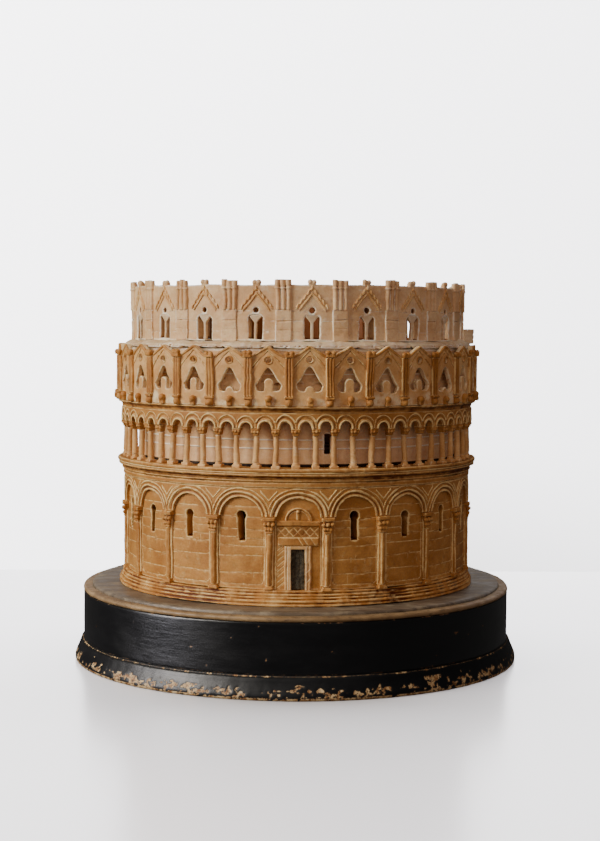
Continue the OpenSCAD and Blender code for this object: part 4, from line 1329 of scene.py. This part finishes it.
def pier_shafts():
    g, s, number = PIERS.patch(5.3, (205.3, STUB_TOP), (UPPER_R - 1.6, 99.8), (0.28, 0.33, 0.28))
    fields = []
    for side in (-1, 0, 1):
        top = 221.7 + g.varied(number, 0.4, 155 + side)
        middle = s - 2.95 * side
        shaft = np.hypot(middle, (g.r - 98.2) * 0.95) - (1.3 + 0.3 * g.skin)
        ring = np.hypot(np.maximum(np.hypot(middle, g.r - 98.2) - 1.15, 0), g.z - 217.2) - 0.6
        cap = np.maximum(np.hypot(middle, g.r - 98.2) - 1.5, g.z - top)
        shaft = np.maximum(shaft, g.z - top + 1.5)
        fields.append(union(shaft, ring, np.maximum(cap, top - 3.2 - g.z), k=0.5))
    back = solid(box(s, g.z, 4.2, 205.3, 220.6), g.r, UPPER_R - 0.3, 98.3)
    field = smin(union(*fields, k=0.15), back, 0.2) + 0.5 * g.skin
    field = between(g, field, 205.3, STUB_TOP)
    field = np.maximum(field, UPPER_R - 1.4 - g.r)

    def pale_grooves(theta, z, r):
        across = PIERS.across(theta, UPPER_R)
        return np.maximum(pulse(np.abs(across) - 1.5, 1.0), 0) * (r < 98.9)
    return carved("pier_shafts", g, field, PALE, pale_grooves)


def apex_stubs():
    g, s, number = LIGHTS.patch(3.0, (218, STUB_TOP), (UPPER_R - 2.6, UPPER_R + 1.2), (0.27, 0.27, 0.28))
    block = solid(box(s, g.z, 2.0, 218, 220.4), g.r, UPPER_R - 2.4, UPPER_R + 0.2)
    knobs = [ball(g, s, side * 1.15, 220.5 + g.varied(number, 0.4, 161 + side), UPPER_R - 0.7, 1.4)
             for side in (-1, 1)]
    field = union(block, *knobs, k=0.4) + g.skin
    return carved("apex_stubs", g, field, PALE)


# ---------------------------------------------------------------- the object
for build in (plinth_foot_board, plinth_drum, plinth_bead, plinth_top_board,
              lower_steps, lower_wall, blind_arcade, lower_frieze, lower_column_bases, lower_column_shafts,
              lower_column_capitals, lower_archivolts, spandrel_chevrons, portal_frames, portal_lintels,
              portal_lunettes, door_leaves, lower_cornice,
              gallery_sill, gallery_column_bases, gallery_column_shafts, gallery_column_capitals, gallery_arcade,
              gallery_archivolts, gallery_cornice, gable_wall, gable_mouldings, gable_eye_rings, gable_knobs,
              pinnacle_feet, pinnacle_shafts, pinnacle_heads,
              inner_drum_wall, inner_drum_bands, drum_backing, terrace_ledge, terrace_block, upper_wall,
              upper_window_tracery, upper_gable_mouldings, pier_blocks, pier_shafts, apex_stubs):
    build()


# ---------------------------------------------------------------- studio
def studio_material(name, color, rough):
    material = bpy.data.materials.new(name)
    material.use_nodes = True
    shader = material.node_tree.nodes["Principled BSDF"]
    shader.inputs["Base Color"].default_value = color
    shader.inputs["Roughness"].default_value = rough
    shader.inputs["Specular IOR Level"].default_value = 0.6
    return material


def stage_sheet(name, corners, material, mirror):
    """One flat sheet of the studio. It doesn't light the object; mirror is whether reflections show it."""
    mesh = bpy.data.meshes.new(name)
    mesh.from_pydata(corners, [], [(0, 1, 2, 3)])
    mesh.materials.append(material)
    sheet = bpy.data.objects.new(name, mesh)
    bpy.context.scene.collection.objects.link(sheet)
    sheet.visible_diffuse = False
    sheet.visible_glossy = mirror
    return sheet


def area_light(name, place, aim, size, watts, color=(1, 1, 1), only=(), mirror=True):
    """A soft box; only lists what it lights, if not all, and mirror says if reflections show it."""
    lamp = bpy.data.lights.new(name, "AREA")
    lamp.shape, lamp.size, lamp.size_y = "RECTANGLE", size[0], size[1]
    lamp.energy, lamp.color = watts, color
    piece = bpy.data.objects.new(name, lamp)
    bpy.context.scene.collection.objects.link(piece)
    piece.location = place
    piece.rotation_euler = (Vector(aim) - Vector(place)).to_track_quat("-Z", "Y").to_euler()
    piece.visible_glossy = mirror
    piece.visible_camera = False
    if only:
        receivers = bpy.data.collections.new(name + "_receivers")
        for one in only:
            receivers.objects.link(one)
        piece.light_linking.receiver_collection = receivers


def one_sided(material):
    """Let the sheet be seen from its front only, so the object can be looked at from behind it."""
    tree = material.node_tree
    clear = tree.nodes.new("ShaderNodeBsdfTransparent")
    choice = tree.nodes.new("ShaderNodeMixShader")
    side = tree.nodes.new("ShaderNodeNewGeometry")
    tree.links.new(side.outputs["Backfacing"], choice.inputs["Fac"])
    tree.links.new(tree.nodes["Principled BSDF"].outputs["BSDF"], choice.inputs[1])
    tree.links.new(clear.outputs["BSDF"], choice.inputs[2])
    tree.links.new(choice.outputs["Shader"], tree.nodes["Material Output"].inputs["Surface"])
    return material


WALL_Y = 0.33
TABLE = stage_sheet("pale_table", [(-3.2, -2.4, 0), (3.2, -2.4, 0), (3.2, WALL_Y, 0), (-3.2, WALL_Y, 0)],
                    studio_material("pale_table", rgb(236, 235, 238), 0.24), False)
BACKDROP = stage_sheet("backdrop",
                       [(-3.2, WALL_Y, 0), (3.2, WALL_Y, 0), (3.2, WALL_Y, 2.6), (-3.2, WALL_Y, 2.6)],
                       one_sided(studio_material("pale_backdrop", rgb(236, 236, 239), 0.8)), False)
BACKDROP.visible_shadow = False
area_light("wash_backdrop", (-0.9, -1.6, 1.9), (-0.2, 0.33, 0.5), (2.5, 1.6), 620, (1, 1, 1.01),
           only=[BACKDROP], mirror=False)
area_light("backdrop_glow", (-0.3, WALL_Y + 0.002, 1.2), (-0.3, -1, 1.2), (6, 2.4), 240, (0.99, 0.985, 1.01),
           only=[TABLE])
PLINTH = [bpy.data.objects[name + "_turned"]
          for name in ("plinth_foot_board", "plinth_drum", "plinth_bead", "plinth_top_board")]
area_light("plinth_sheen_left", (-1.25, -0.5, 0.3), (0, 0, 0.03), (0.5, 0.7), 8, (0.97, 0.95, 1.06),
           only=PLINTH)
area_light("plinth_sheen_back", (0, WALL_Y - 0.01, 0.3), (0, 0, 0.04), (3.2, 0.5), 2.8, (1.0, 0.97, 0.96),
           only=PLINTH[2:])
for name, place, aim_z, size, watts, color, mirror in (
        ("window_left", (-1.32, -0.68, 0.78), 0.15, (0.8, 0.9), 31, (1.0, 0.94, 0.84), True),
        ("fill_front", (0.2, -2.0, 0.7), 0.12, (2.0, 1.5), 10, (1.0, 0.79, 0.74), False),
        ("fill_right", (1.5, -0.9, 1.2), 0.18, (0.9, 0.9), 2.6, (1.0, 0.64, 0.58), False),
        ("fill_top", (0.3, 0.0, 1.8), 0.0, (1.6, 1.6), 4, (1.0, 0.93, 0.85), False),
        ("fill_back", (0.2, 1.9, 0.9), 0.12, (1.6, 1.2), 11, (1.0, 0.93, 0.85), False)):
    area_light(name, place, (0, 0, aim_z), size, watts, color, mirror=mirror)
world = bpy.data.worlds.new("soft_room")
world.use_nodes = True
world.node_tree.nodes["Background"].inputs["Color"].default_value = rgb(240, 236, 232)
room = world.node_tree.nodes["Background"]
ray = world.node_tree.nodes.new("ShaderNodeLightPath")
level = world.node_tree.nodes.new("ShaderNodeMapRange")
level.inputs["To Min"].default_value = 0.06
level.inputs["To Max"].default_value = 4.0
world.node_tree.links.new(ray.outputs["Is Camera Ray"], level.inputs["Value"])
world.node_tree.links.new(level.outputs["Result"], room.inputs["Strength"])
bpy.context.scene.world = world

camera_data = bpy.data.cameras.new("camera")
camera_data.lens, camera_data.sensor_width, camera_data.sensor_fit = 69.3, 36, "AUTO"
camera_data.clip_start, camera_data.clip_end = 0.05, 20
camera = bpy.data.objects.new("camera", camera_data)
bpy.context.scene.collection.objects.link(camera)
turn = (Matrix.Rotation(math.radians(-0.82), 4, "Z") @ Matrix.Rotation(math.radians(90 - 3.23), 4, "X")
        @ Matrix.Rotation(math.radians(0.34), 4, "Z"))
camera.matrix_world = Matrix.Translation((-0.01185, -0.96993, 0.195)) @ turn
bpy.context.scene.camera = camera
